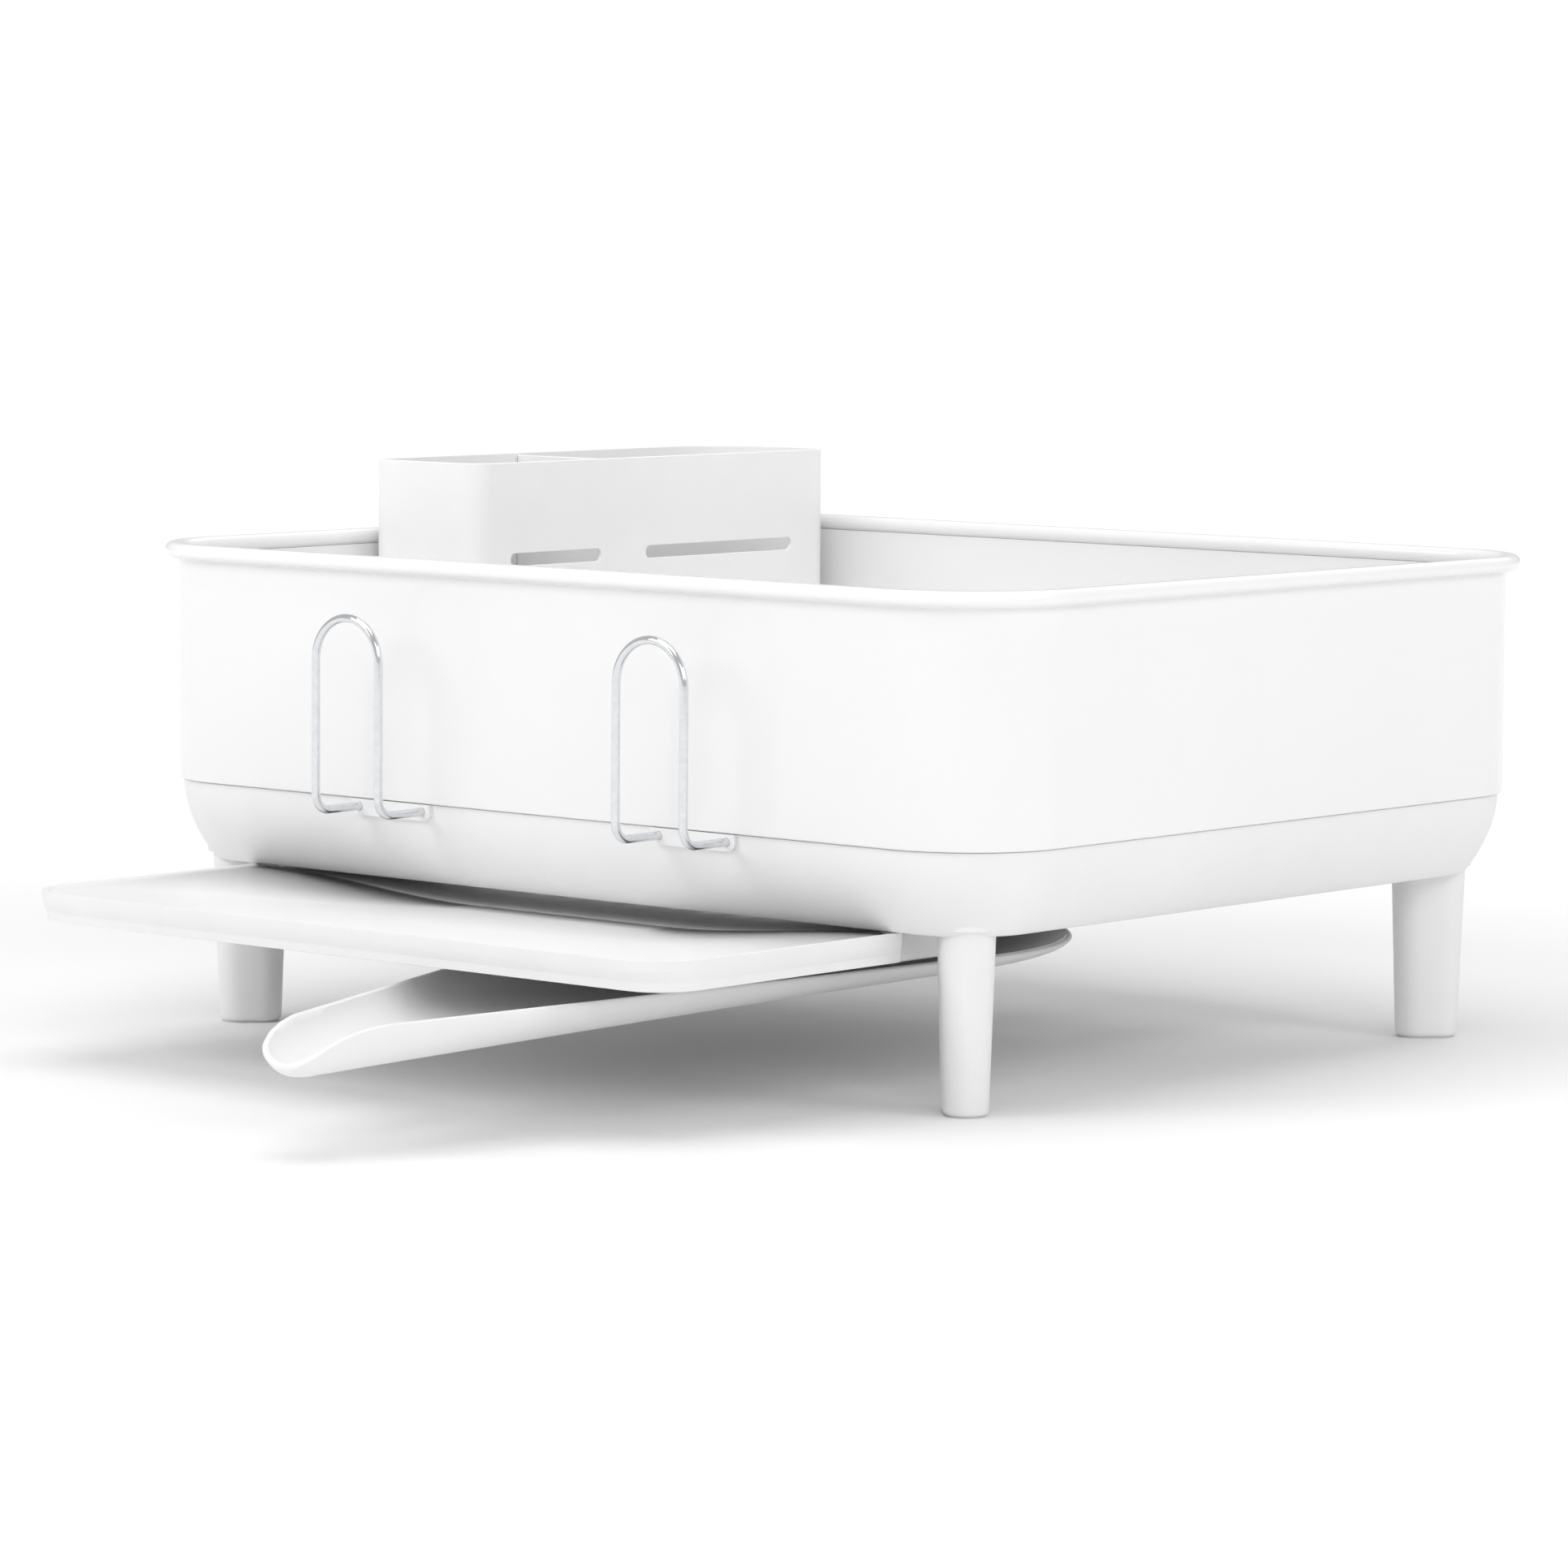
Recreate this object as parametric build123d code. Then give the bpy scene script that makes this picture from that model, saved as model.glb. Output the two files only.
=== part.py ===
"""Dish drying rack: a painted steel frame on a moulded base that stands on four legs, with a
sliding drip tray, a swivelling spout, sliding cup hooks and a lift-out cutlery caddy and grate.
Millimetres, +Z up.  Everything is drawn about the middle of the frame on the worktop, then moved
back when it is written, so the origin ends up below the middle of the whole object's box."""

from build123d import *
import math
import os

os.makedirs("parts", exist_ok=True)

# ---- driving dimensions -------------------------------------------------------------------
# steel frame
FRAME_WIDTH = 500.0
FRAME_DEPTH = 409.0
CORNER_RADIUS = 50.0
STEEL = 1.0
FRAME_FLANGE = 12.0
RIM_TOP_Z = 221.3
RIM_HEIGHT = 7.0
RIM_PROUD_OUTSIDE = 6.5
RIM_PROUD_INSIDE = 1.5
RIM_ROUND = 3.2
RIM_SLIT = 0.8

# moulded base
SEAM_Z = 113.0
SEAM_GAP = 0.3
BASE_BOTTOM_Z = 76.4
BASE_INSET_TOP = 2.0
BASE_INSET_MIDDLE = 6.2
BASE_INSET_BOTTOM = 16.5
BASE_WALL = 2.6
BASE_FLOOR = 3.0
BASE_RING_WIDTH = 12.0
BASE_RING_HEIGHT = 6.0

# legs and feet
LEG_TOP_LENGTH = 34.0
LEG_TOP_WIDTH = 24.0
LEG_FOOT_LENGTH = 28.5
LEG_FOOT_WIDTH = 19.5
LEG_OUTSTAND = 1.0
LEG_SPIGOT = 9.0
PAD_HEIGHT = 1.6
PAD_PLUG = 3.0
PAD_INSET = 1.5
LEG_SCREW_RADIUS = 2.0
LEG_SCREW_LENGTH = 16.0

# drip tray and its rails
TRAY_LEG_GAP = 6.0
TRAY_FRONT_REACH = 126.5
TRAY_LENGTH = 375.0
TRAY_HEIGHT = 14.0
TRAY_UNDERCUT = 7.0
TRAY_WALL = 2.2
TRAY_CORNER = 26.0
TRAY_TOP_GAP = 0.4
TRAY_HEAD_LENGTH = 150.0
TRAY_NECK_LENGTH = 76.0
TRAY_NECK_SLOPE = 13.0
TRAY_REAR_GAP = 1.6
TRAY_TROUGH_INSET = 47.5
TRAY_FLANGE = 7.0
TRAY_STEP_RADIUS = 2.0
TRAY_TAIL_CORNER = 12.0
TRAY_TRAVEL = 130.0
RAIL_THICKNESS = 2.0
RAIL_FRONT_GAP = 1.0
RAIL_LEG_GAP = 4.0
RAIL_SCREW_SHARES = (0.25, 0.65)
RAIL_FOOT = 6.0
SEAT_GAP = 0.3

# spout
SPOUT_PIVOT_X = 60.0
SPOUT_PIVOT_SETBACK = 253.0
SPOUT_REACH = 366.0
SPOUT_ANGLE = 5.8
BOWL_RADIUS = 109.0
LIP_RADIUS = 18.5
SPOUT_RIM_Z = 55.5
SPOUT_RIM_FALL = 6.5
BOWL_DEPTH = 8.3
LIP_DEPTH = 15.0
SPOUT_FLARE_BOWL = 18.0
SPOUT_FLARE_LIP = 9.0
SPOUT_WALL = 2.2
# the lip's cut, seen from the side: back from the tip and up from the lip's edge
LIP_CUT = ((-4.0, 0.0), (9.0, 1.6), (42.0, 9.6), (68.0, 22.6))
LIP_EDGE = 1.2
SUMP_RADIUS = 40.0
SUMP_DEPTH = 5.0
DRAIN_HOLES = 8
DRAIN_HOLE_RADIUS = 4.5
PIVOT_POST_RADIUS = 8.0
PIVOT_PIN_RADIUS = 4.0
PIVOT_CLEARANCE = 0.06
BUSH_WALL = 1.6
WASHER_WIDTH = 4.5
WASHER_THICKNESS = 1.2
PIVOT_SCREW_LENGTH = 9.0
SCREW_CLEARANCE = 0.1

# cup hooks
HOOK_CENTRES = {"left": -86.2, "right": 92.3}
HOOK_WIRE = 3.8
HOOK_SPACING = 38.4
HOOK_STANDOFF = 27.0
HOOK_TOP_Z = 197.5
HOOK_WIRE_Z = 109.6
HOOK_BEND = 7.5
HOOK_TAIL = 23.5
HOOK_CLEARANCE = 0.06
GUIDE_LENGTH = 47.5
GUIDE_HEIGHT = 7.2
GUIDE_DEPTH = 15.0
GUIDE_CORNER = 3.4
FIT_GAP = 0.15
STOP_RADIUS = 3.6
STOP_LENGTH = 5.0

# cutlery caddy
CADDY_WIDTH = 71.5
CADDY_LENGTH = 255.5
CADDY_WALL_GAP = 7.0
CADDY_REAR_GAP = 8.5
CADDY_TOP_Z = 254.8
CADDY_WALL = 2.0
CADDY_FLOOR = 3.0
CADDY_CORNER = 13.0
CADDY_BACK_CORNER = 46.0
CADDY_DIVIDER_SHARE = 0.4
CADDY_SLOT_HEIGHT = 6.0
CADDY_SLOT_TOP_Z = 212.0
CADDY_SLOT_MARGINS = (23.5, 16.0, 16.0, 30.4)
CADDY_POST_RADIUS = 6.0
CADDY_POST_INSET = 14.0
CADDY_POST_SHARES = (0.2, 0.8)
CADDY_DRAIN_SHARES = (0.12, 0.28, 0.52, 0.68, 0.84)
CADDY_DRAIN_LENGTH = 36.0
CADDY_DRAIN_WIDTH = 6.0
CADDY_DIVIDER_DROP = 1.0

# lift-out grate and plate ribs
GRATE_SIDE_GAP = 20.0
GRATE_END_GAP = 50.0
GRATE_CADDY_GAP = 13.5
GRATE_CORNER = 18.0
GRATE_THICKNESS = 3.0
GRATE_LEDGE = 12.0
GRATE_LEG_GAP = 1.5
GRATE_SLOT_WIDTH = 6.0
GRATE_SLOT_PITCH = 20.0
GRATE_SLOT_ROWS = 4
GRATE_SLOT_BRIDGE = 12.0
RIB_COUNT = 8
RIB_PITCH = 27.0
RIB_SIDE_GAP = 59.0
RIB_THICKNESS = 3.0
RIB_LENGTH = 190.0
RIB_HEIGHT = 42.0
RIB_STRIP_WIDTH = 16.0
RIB_STRIP_THICKNESS = 3.0
RIB_STRIP_END = 10.0

# fasteners
FRONT_SCREW_SHARES = (-0.58, 0.03, 0.64)
REAR_SCREW_SHARES = (-0.56, 0.0, 0.56)
SIDE_SCREW_SHARE = 0.5
LEFT_SCREW_SHARE = 0.55
SCREW_EDGE = 1.0
SCREW_RADIUS = 1.5
SCREW_HEAD_RADIUS = 3.0
SCREW_HEAD_HEIGHT = 1.8
FRAME_SCREW_LENGTH = 5.0
RAIL_SCREW_LENGTH = 2.8

# ---- positions that follow ----------------------------------------------------------------
HALF_W = FRAME_WIDTH / 2
HALF_D = FRAME_DEPTH / 2
RIM_UNDER_Z = RIM_TOP_Z - RIM_HEIGHT
BASE_FLOOR_Z = BASE_BOTTOM_Z + BASE_FLOOR
FRAME_BOTTOM_Z = SEAM_Z + SEAM_GAP
LEG_SETBACK = (CORNER_RADIUS - BASE_INSET_BOTTOM + LEG_OUTSTAND - LEG_TOP_LENGTH / 2) / math.sqrt(2)
LEG_X = HALF_W - CORNER_RADIUS + LEG_SETBACK
LEG_Y = HALF_D - CORNER_RADIUS + LEG_SETBACK
LEG_REACH = (LEG_TOP_LENGTH - LEG_TOP_WIDTH) / 2 / math.sqrt(2) + LEG_TOP_WIDTH / 2
TRAY_HALF_WIDTH = LEG_X - LEG_REACH - TRAY_LEG_GAP
TRAY_TOP_Z = BASE_BOTTOM_Z - TRAY_TOP_GAP
TRAY_BOTTOM_Z = TRAY_TOP_Z - TRAY_HEIGHT
TRAY_FRONT_Y = -HALF_D - TRAY_FRONT_REACH
TRAY_REAR_Y = TRAY_FRONT_Y + TRAY_LENGTH
TRAY_STEP_Y = TRAY_FRONT_Y + TRAY_HEAD_LENGTH
TRAY_NECK_Y = TRAY_STEP_Y + TRAY_NECK_LENGTH
TRAY_REAR_TOP_Z = BASE_BOTTOM_Z - TRAY_REAR_GAP
TRAY_FLANGE_Z = TRAY_REAR_TOP_Z - TRAY_WALL
TRAY_REAR_HALF = TRAY_HALF_WIDTH - RAIL_THICKNESS - SEAT_GAP - TRAY_FLANGE
TRAY_TROUGH_HALF = TRAY_REAR_HALF - TRAY_TROUGH_INSET
RAIL_REAR_Y = LEG_Y - LEG_TOP_LENGTH / 2 - RAIL_LEG_GAP
RAIL_FRONT_Y = TRAY_STEP_Y + TRAY_TRAVEL + RAIL_FRONT_GAP
RAIL_LENGTH = RAIL_REAR_Y - RAIL_FRONT_Y
PIVOT_Y = TRAY_FRONT_Y + SPOUT_PIVOT_SETBACK
SPOUT_DIRECTION = math.radians(-90.0 + SPOUT_ANGLE)
SUMP_FLOOR_Z = TRAY_BOTTOM_Z - SUMP_DEPTH
HOOK_PLANE_Y = -HALF_D - HOOK_STANDOFF
CADDY_LEFT_X = -HALF_W + CADDY_WALL_GAP
CADDY_RIGHT_X = CADDY_LEFT_X + CADDY_WIDTH
CADDY_BACK_Y = HALF_D - CADDY_REAR_GAP
CADDY_FRONT_Y = CADDY_BACK_Y - CADDY_LENGTH
CADDY_DIVIDER_Y = CADDY_FRONT_Y + CADDY_DIVIDER_SHARE * CADDY_LENGTH
CADDY_BOTTOM_Z = FRAME_BOTTOM_Z + STEEL + SEAT_GAP
GRATE_LEFT_X = CADDY_RIGHT_X + GRATE_CADDY_GAP
GRATE_RIGHT_X = HALF_W - GRATE_SIDE_GAP
GRATE_WIDTH = GRATE_RIGHT_X - GRATE_LEFT_X
GRATE_DEPTH = FRAME_DEPTH - 2 * GRATE_END_GAP
GRATE_CENTRE_X = (GRATE_LEFT_X + GRATE_RIGHT_X) / 2
GRATE_BOTTOM_Z = BASE_FLOOR_Z + SEAT_GAP
GRATE_TOP_Z = GRATE_BOTTOM_Z + GRATE_THICKNESS
BASE_OPENING_WIDTH = GRATE_WIDTH - 2 * GRATE_LEDGE
BASE_OPENING_DEPTH = GRATE_DEPTH - 2 * GRATE_LEDGE
RIB_FIRST_X = GRATE_RIGHT_X - RIB_SIDE_GAP - (RIB_COUNT - 1) * RIB_PITCH

# the corner of the base's underside that each leg stands at
LEG_CORNERS = {
    "front_left": (-1, -1),
    "front_right": (1, -1),
    "back_left": (-1, 1),
    "back_right": (1, 1),
}


# ---- helpers ------------------------------------------------------------------------------
def rounded_block(width, depth, radius, low, high, x=0.0, y=0.0):
    """A block with rounded upright corners."""
    return extrude(Pos(x, y, low) * RectangleRounded(width, depth, radius), amount=high - low)


def frame_block(inset, low, high):
    """A block that follows the frame's outline, drawn in by an inset."""
    return rounded_block(
        FRAME_WIDTH - 2 * inset, FRAME_DEPTH - 2 * inset, CORNER_RADIUS - inset, low, high
    )


def frame_ring(outer_inset, inner_inset, low, high):
    """A ring between two outlines that follow the frame."""
    return frame_block(outer_inset, low, high) - frame_block(inner_inset, low, high)


def rod(radius, start, end):
    """A round bar between two points."""
    axis = Vector(*end) - Vector(*start)
    return extrude(Plane(origin=start, z_dir=axis) * Circle(radius), amount=axis.length)


def base_bowl(extra, low_z):
    """The base's curved outside as a solid, drawn in by an extra inset and floored at low_z."""
    middle_z = (SEAM_Z + BASE_BOTTOM_Z) / 2
    outlines = []
    for inset, z in (
        (BASE_INSET_TOP, SEAM_Z),
        (BASE_INSET_MIDDLE, middle_z),
        (BASE_INSET_BOTTOM, BASE_BOTTOM_Z),
    ):
        drawn_in = inset + extra
        outline = RectangleRounded(
            FRAME_WIDTH - 2 * drawn_in, FRAME_DEPTH - 2 * drawn_in, CORNER_RADIUS - drawn_in
        )
        outlines.append(Pos(0, 0, z) * outline)
    bowl = loft(outlines)
    if low_z > BASE_BOTTOM_Z:
        bowl -= frame_block(0, BASE_BOTTOM_Z - 1, low_z)
    return bowl


# ---- steel frame --------------------------------------------------------------------------
def flange_screw_places():
    """Where the frame is screwed down to the base, clear of the caddy and the hook guides."""
    line = FRAME_FLANGE - SCREW_HEAD_RADIUS - SCREW_EDGE
    side_x = HALF_W - line
    end_y = HALF_D - line
    side_y = SIDE_SCREW_SHARE * HALF_D
    corner_y = CORNER_RADIUS - HALF_D
    left_y = corner_y + LEFT_SCREW_SHARE * (CADDY_FRONT_Y - corner_y)
    places = [(side_x, -side_y), (side_x, side_y), (-side_x, left_y)]
    places += [(share * HALF_W, -end_y) for share in FRONT_SCREW_SHARES]
    places += [(share * HALF_W, end_y) for share in REAR_SCREW_SHARES]
    return places


def steel_frame():
    """Folded sheet: an upright band, a flange turned in at the foot and a rolled rim."""
    band = frame_ring(0, STEEL, FRAME_BOTTOM_Z, RIM_TOP_Z - RIM_ROUND)
    flange = frame_ring(0, FRAME_FLANGE, FRAME_BOTTOM_Z, FRAME_BOTTOM_Z + STEEL)
    rim = frame_block(-RIM_PROUD_OUTSIDE, RIM_UNDER_Z, RIM_TOP_Z)
    rim = fillet(rim.edges().filter_by(Plane.XY), RIM_ROUND)
    rim -= frame_block(STEEL + RIM_PROUD_INSIDE, RIM_UNDER_Z - 1, RIM_TOP_Z + 1)
    hollow = frame_block(STEEL - RIM_PROUD_OUTSIDE, RIM_UNDER_Z + STEEL, RIM_TOP_Z - STEEL)
    hollow = fillet(hollow.edges().filter_by(Plane.XY), RIM_ROUND - STEEL)
    hollow -= frame_block(0, RIM_UNDER_Z, RIM_TOP_Z)
    slit = frame_ring(-RIM_SLIT, 0, RIM_UNDER_Z - 1, RIM_UNDER_Z + STEEL + 1)
    frame = band + flange + rim - hollow - slit
    for x, y in flange_screw_places():
        frame -= rod(SCREW_RADIUS + SCREW_CLEARANCE, (x, y, SEAM_Z), (x, y, SEAM_Z + 5))
    return frame


def flange_screws():
    """Small screws that hold the frame's flange to the base."""
    top = FRAME_BOTTOM_Z + STEEL
    screws = []
    for x, y in flange_screw_places():
        shank = rod(SCREW_RADIUS, (x, y, top - FRAME_SCREW_LENGTH), (x, y, top))
        head = rod(SCREW_HEAD_RADIUS, (x, y, top), (x, y, top + SCREW_HEAD_HEIGHT))
        screws.append(shank + head)
    return Part() + screws


# ---- legs ---------------------------------------------------------------------------------
def leg_place(sign_x, sign_y):
    """The middle of a leg and the turn of its long side, which lies on the corner's diagonal."""
    return sign_x * LEG_X, sign_y * LEG_Y, math.degrees(math.atan2(sign_y, sign_x))


def leg_outline(sign_x, sign_y, length, width, z):
    """A leg's rounded section at one height; the outer end stays nearest the corner."""
    x, y, turn = leg_place(sign_x, sign_y)
    return Pos(x, y, z) * Rot(0, 0, turn) * SlotOverall(length, width)


def leg_socket(sign_x, sign_y, gap):
    """The upright block of the leg's top, used for the spigot and for the pocket it fills."""
    outline = leg_outline(
        sign_x, sign_y, LEG_TOP_LENGTH + 2 * gap, LEG_TOP_WIDTH + 2 * gap, BASE_BOTTOM_Z - 1
    )
    return extrude(outline, amount=LEG_SPIGOT + 1 + gap)


def leg(sign_x, sign_y):
    """A tapered leg whose top plugs into a pocket in the base."""
    x, y, _ = leg_place(sign_x, sign_y)
    foot = leg_outline(sign_x, sign_y, LEG_FOOT_LENGTH, LEG_FOOT_WIDTH, PAD_HEIGHT)
    top = leg_outline(sign_x, sign_y, LEG_TOP_LENGTH, LEG_TOP_WIDTH, BASE_BOTTOM_Z)
    body = loft([foot, top])
    spigot = leg_socket(sign_x, sign_y, 0) & base_bowl(0, BASE_BOTTOM_Z)
    body += spigot
    plug_length = LEG_FOOT_LENGTH - 4 * PAD_INSET
    plug_width = LEG_FOOT_WIDTH - 4 * PAD_INSET
    play = 2 * SCREW_CLEARANCE
    recess = leg_outline(sign_x, sign_y, plug_length + play, plug_width + play, PAD_HEIGHT)
    body -= extrude(recess, amount=PAD_PLUG + play)
    screw_top = BASE_BOTTOM_Z + LEG_SPIGOT
    hole = LEG_SCREW_RADIUS + SCREW_CLEARANCE
    return body - rod(hole, (x, y, screw_top - LEG_SCREW_LENGTH), (x, y, screw_top + 1))


def foot_pad(sign_x, sign_y):
    """A soft pad plugged into the foot of a leg."""
    length = LEG_FOOT_LENGTH - 2 * PAD_INSET
    width = LEG_FOOT_WIDTH - 2 * PAD_INSET
    sole = extrude(leg_outline(sign_x, sign_y, length, width, 0), amount=PAD_HEIGHT)
    plug = leg_outline(sign_x, sign_y, length - 2 * PAD_INSET, width - 2 * PAD_INSET, PAD_HEIGHT)
    return sole + extrude(plug, amount=PAD_PLUG)


def leg_screws():
    """One screw down into each leg from inside the base."""
    seat = BASE_BOTTOM_Z + LEG_SPIGOT + FIT_GAP + BASE_WALL
    screws = []
    for sign_x, sign_y in LEG_CORNERS.values():
        x, y, _ = leg_place(sign_x, sign_y)
        shank = rod(LEG_SCREW_RADIUS, (x, y, seat - LEG_SCREW_LENGTH), (x, y, seat))
        head = rod(2 * LEG_SCREW_RADIUS, (x, y, seat), (x, y, seat + SCREW_HEAD_HEIGHT))
        screws.append(shank + head)
    return Part() + screws


# ---- base ---------------------------------------------------------------------------------
def caddy_post_places():
    """Where the two posts under the caddy's inner side stand."""
    x = CADDY_RIGHT_X - CADDY_POST_INSET
    return [(x, CADDY_FRONT_Y + share * CADDY_LENGTH) for share in CADDY_POST_SHARES]


def guide_block(centre_x, gap):
    """A hook guide's outline pushed back into the base."""
    outline = RectangleRounded(GUIDE_LENGTH + 2 * gap, 2 * GUIDE_HEIGHT + 2 * gap, GUIDE_CORNER)
    face = Plane(origin=(centre_x, -HALF_D + FIT_GAP, SEAM_Z), x_dir=(1, 0, 0), z_dir=(0, 1, 0))
    block = extrude(face * outline, amount=GUIDE_DEPTH + gap)
    return block - Pos(centre_x, -HALF_D, SEAM_Z + GUIDE_HEIGHT + gap) * Box(
        GUIDE_LENGTH + 4, 4 * GUIDE_DEPTH, 2 * (GUIDE_HEIGHT + gap)
    )


def base_tub():
    """The moulded base: curved wall, top ring, floor with its drain opening, pockets and posts."""
    tub = base_bowl(0, BASE_BOTTOM_Z) - base_bowl(BASE_WALL, BASE_FLOOR_Z)
    ring_inset = BASE_INSET_TOP + BASE_RING_WIDTH
    ring = frame_block(0, SEAM_Z - BASE_RING_HEIGHT, SEAM_Z) & base_bowl(0, BASE_BOTTOM_Z)
    tub += ring - frame_block(ring_inset, SEAM_Z - BASE_RING_HEIGHT - 1, SEAM_Z + 1)
    tub -= rounded_block(
        BASE_OPENING_WIDTH, BASE_OPENING_DEPTH, GRATE_CORNER - GRATE_LEDGE / 2,
        BASE_BOTTOM_Z - 1, BASE_FLOOR_Z + 1, x=GRATE_CENTRE_X,
    )
    for x, y in caddy_post_places():
        tub += rod(CADDY_POST_RADIUS, (x, y, BASE_BOTTOM_Z), (x, y, CADDY_BOTTOM_Z - SEAT_GAP))
    bowl = base_bowl(0, BASE_BOTTOM_Z)
    for sign_x, sign_y in LEG_CORNERS.values():
        x, y, _ = leg_place(sign_x, sign_y)
        house = leg_outline(
            sign_x, sign_y,
            LEG_TOP_LENGTH + 2 * BASE_WALL, LEG_TOP_WIDTH + 2 * BASE_WALL, BASE_BOTTOM_Z,
        )
        tub += extrude(house, amount=LEG_SPIGOT + FIT_GAP + BASE_WALL) & bowl
        tub -= leg_socket(sign_x, sign_y, FIT_GAP)
        hole_top = BASE_BOTTOM_Z + LEG_SPIGOT + 2 * BASE_WALL
        tub -= rod(LEG_SCREW_RADIUS + SCREW_CLEARANCE, (x, y, BASE_BOTTOM_Z), (x, y, hole_top))
    for centre_x in HOOK_CENTRES.values():
        tub -= guide_block(centre_x, FIT_GAP)
    screw_hole = SCREW_RADIUS + SCREW_CLEARANCE
    for x, y in flange_screw_places():
        tub -= rod(screw_hole, (x, y, SEAM_Z - BASE_RING_HEIGHT), (x, y, SEAM_Z + 1))
    for x, y in rail_screw_places():
        tub -= rod(screw_hole, (x, y, BASE_BOTTOM_Z - 1), (x, y, BASE_BOTTOM_Z + RAIL_SCREW_LENGTH))
    return tub


# ---- cup hooks ----------------------------------------------------------------------------
def hook_guide(centre_x):
    """The block that a hook's two legs slide through."""
    block = guide_block(centre_x, 0)
    for side in (-1, 1):
        x = centre_x + side * HOOK_SPACING / 2
        bore = HOOK_WIRE / 2 + HOOK_CLEARANCE
        rear_y = -HALF_D + GUIDE_DEPTH + 2
        block -= rod(bore, (x, -HALF_D - 1, HOOK_WIRE_Z), (x, rear_y, HOOK_WIRE_Z))
    return block


def cup_hook(centre_x):
    """One bent wire: an upright loop whose two legs turn back into the guide."""
    half = HOOK_SPACING / 2
    radius = HOOK_WIRE / 2
    arch_z = HOOK_TOP_Z - radius - half
    tail_y = -HALF_D + HOOK_TAIL
    bend_z = HOOK_WIRE_Z + HOOK_BEND
    bend_y = HOOK_PLANE_Y + HOOK_BEND
    with BuildLine() as path:
        Line((centre_x - half, tail_y, HOOK_WIRE_Z), (centre_x - half, bend_y, HOOK_WIRE_Z))
        corner = HOOK_BEND * (1 - math.sqrt(0.5))
        ThreePointArc(
            (centre_x - half, bend_y, HOOK_WIRE_Z),
            (centre_x - half, HOOK_PLANE_Y + corner, HOOK_WIRE_Z + corner),
            (centre_x - half, HOOK_PLANE_Y, bend_z),
        )
        Line((centre_x - half, HOOK_PLANE_Y, bend_z), (centre_x - half, HOOK_PLANE_Y, arch_z))
        ThreePointArc(
            (centre_x - half, HOOK_PLANE_Y, arch_z),
            (centre_x, HOOK_PLANE_Y, arch_z + half),
            (centre_x + half, HOOK_PLANE_Y, arch_z),
        )
        Line((centre_x + half, HOOK_PLANE_Y, arch_z), (centre_x + half, HOOK_PLANE_Y, bend_z))
        ThreePointArc(
            (centre_x + half, HOOK_PLANE_Y, bend_z),
            (centre_x + half, HOOK_PLANE_Y + corner, HOOK_WIRE_Z + corner),
            (centre_x + half, bend_y, HOOK_WIRE_Z),
        )
        Line((centre_x + half, bend_y, HOOK_WIRE_Z), (centre_x + half, tail_y, HOOK_WIRE_Z))
    start = Plane(origin=(centre_x - half, tail_y, HOOK_WIRE_Z), z_dir=(0, -1, 0))
    return sweep(start * Circle(radius), path=path.wires()[0])


def hook_stops(centre_x):
    """A collar on each leg's inner end, which keeps the hook from being pulled out."""
    stops = []
    start_y = -HALF_D + FIT_GAP + GUIDE_DEPTH + SEAT_GAP
    end_y = start_y + STOP_LENGTH
    for side in (-1, 1):
        x = centre_x + side * HOOK_SPACING / 2
        collar = rod(STOP_RADIUS, (x, start_y, HOOK_WIRE_Z), (x, end_y, HOOK_WIRE_Z))
        wire = rod(HOOK_WIRE / 2, (x, start_y - 1, HOOK_WIRE_Z), (x, end_y + 1, HOOK_WIRE_Z))
        stops.append(collar - wire)
    return Part() + stops


# ---- drip tray ----------------------------------------------------------------------------
def tray_outline(half_width, front, rear, corner, rear_corner, z):
    """A tray outline with rounded front corners and its own rear corner radius."""
    with BuildSketch(Plane.XY.offset(z)) as sketch:
        with Locations((0, (front + rear) / 2)):
            Rectangle(2 * half_width, rear - front)
        corners = sketch.vertices()
        fillet(corners.filter_by_position(Axis.Y, front - 1, front + 1), corner)
        fillet(sketch.vertices().filter_by_position(Axis.Y, rear - 0.1, rear + 0.1), rear_corner)
    return sketch.sketch


def tray_head_block(extra, low, high):
    """The tray's wide front part as a solid, drawn in by extra; its sides lean in to the foot."""
    sides = []
    for z, undercut in ((low, TRAY_UNDERCUT * (high - low) / TRAY_HEIGHT), (high, 0.0)):
        drawn_in = extra + undercut
        sides.append(
            tray_outline(
                TRAY_HALF_WIDTH - drawn_in, TRAY_FRONT_Y + drawn_in, TRAY_STEP_Y - extra,
                TRAY_CORNER - drawn_in, TRAY_STEP_RADIUS, z,
            )
        )
    return loft(sides)


def tray_neck(extra, front, open_top):
    """The tail's front part, as deep as the head; its end slopes up behind the front legs."""
    low = TRAY_BOTTOM_Z + extra
    end = TRAY_NECK_Y - extra
    outline = [(front, low), (end - TRAY_NECK_SLOPE, low), (end, TRAY_FLANGE_Z)]
    outline += [(end, open_top), (front, open_top)]
    face = Plane.YZ * Polygon(*outline, align=None)
    return extrude(face, amount=TRAY_REAR_HALF - extra, both=True)


def tray_tail(rise, front, rear):
    """The tail's rear part: a flat flange on each side, sloping wings and a deep middle."""
    outer = TRAY_REAR_HALF + TRAY_FLANGE
    right = [(TRAY_TROUGH_HALF, TRAY_BOTTOM_Z), (TRAY_REAR_HALF, TRAY_FLANGE_Z)]
    right += [(outer, TRAY_FLANGE_Z), (outer, TRAY_REAR_TOP_Z)]
    left = [(-x, z) for x, z in reversed(right)]
    section = Plane(origin=(0, rear, rise), x_dir=(1, 0, 0), z_dir=(0, -1, 0))
    return extrude(section * Polygon(*right, *left, align=None), amount=rear - front)


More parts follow.
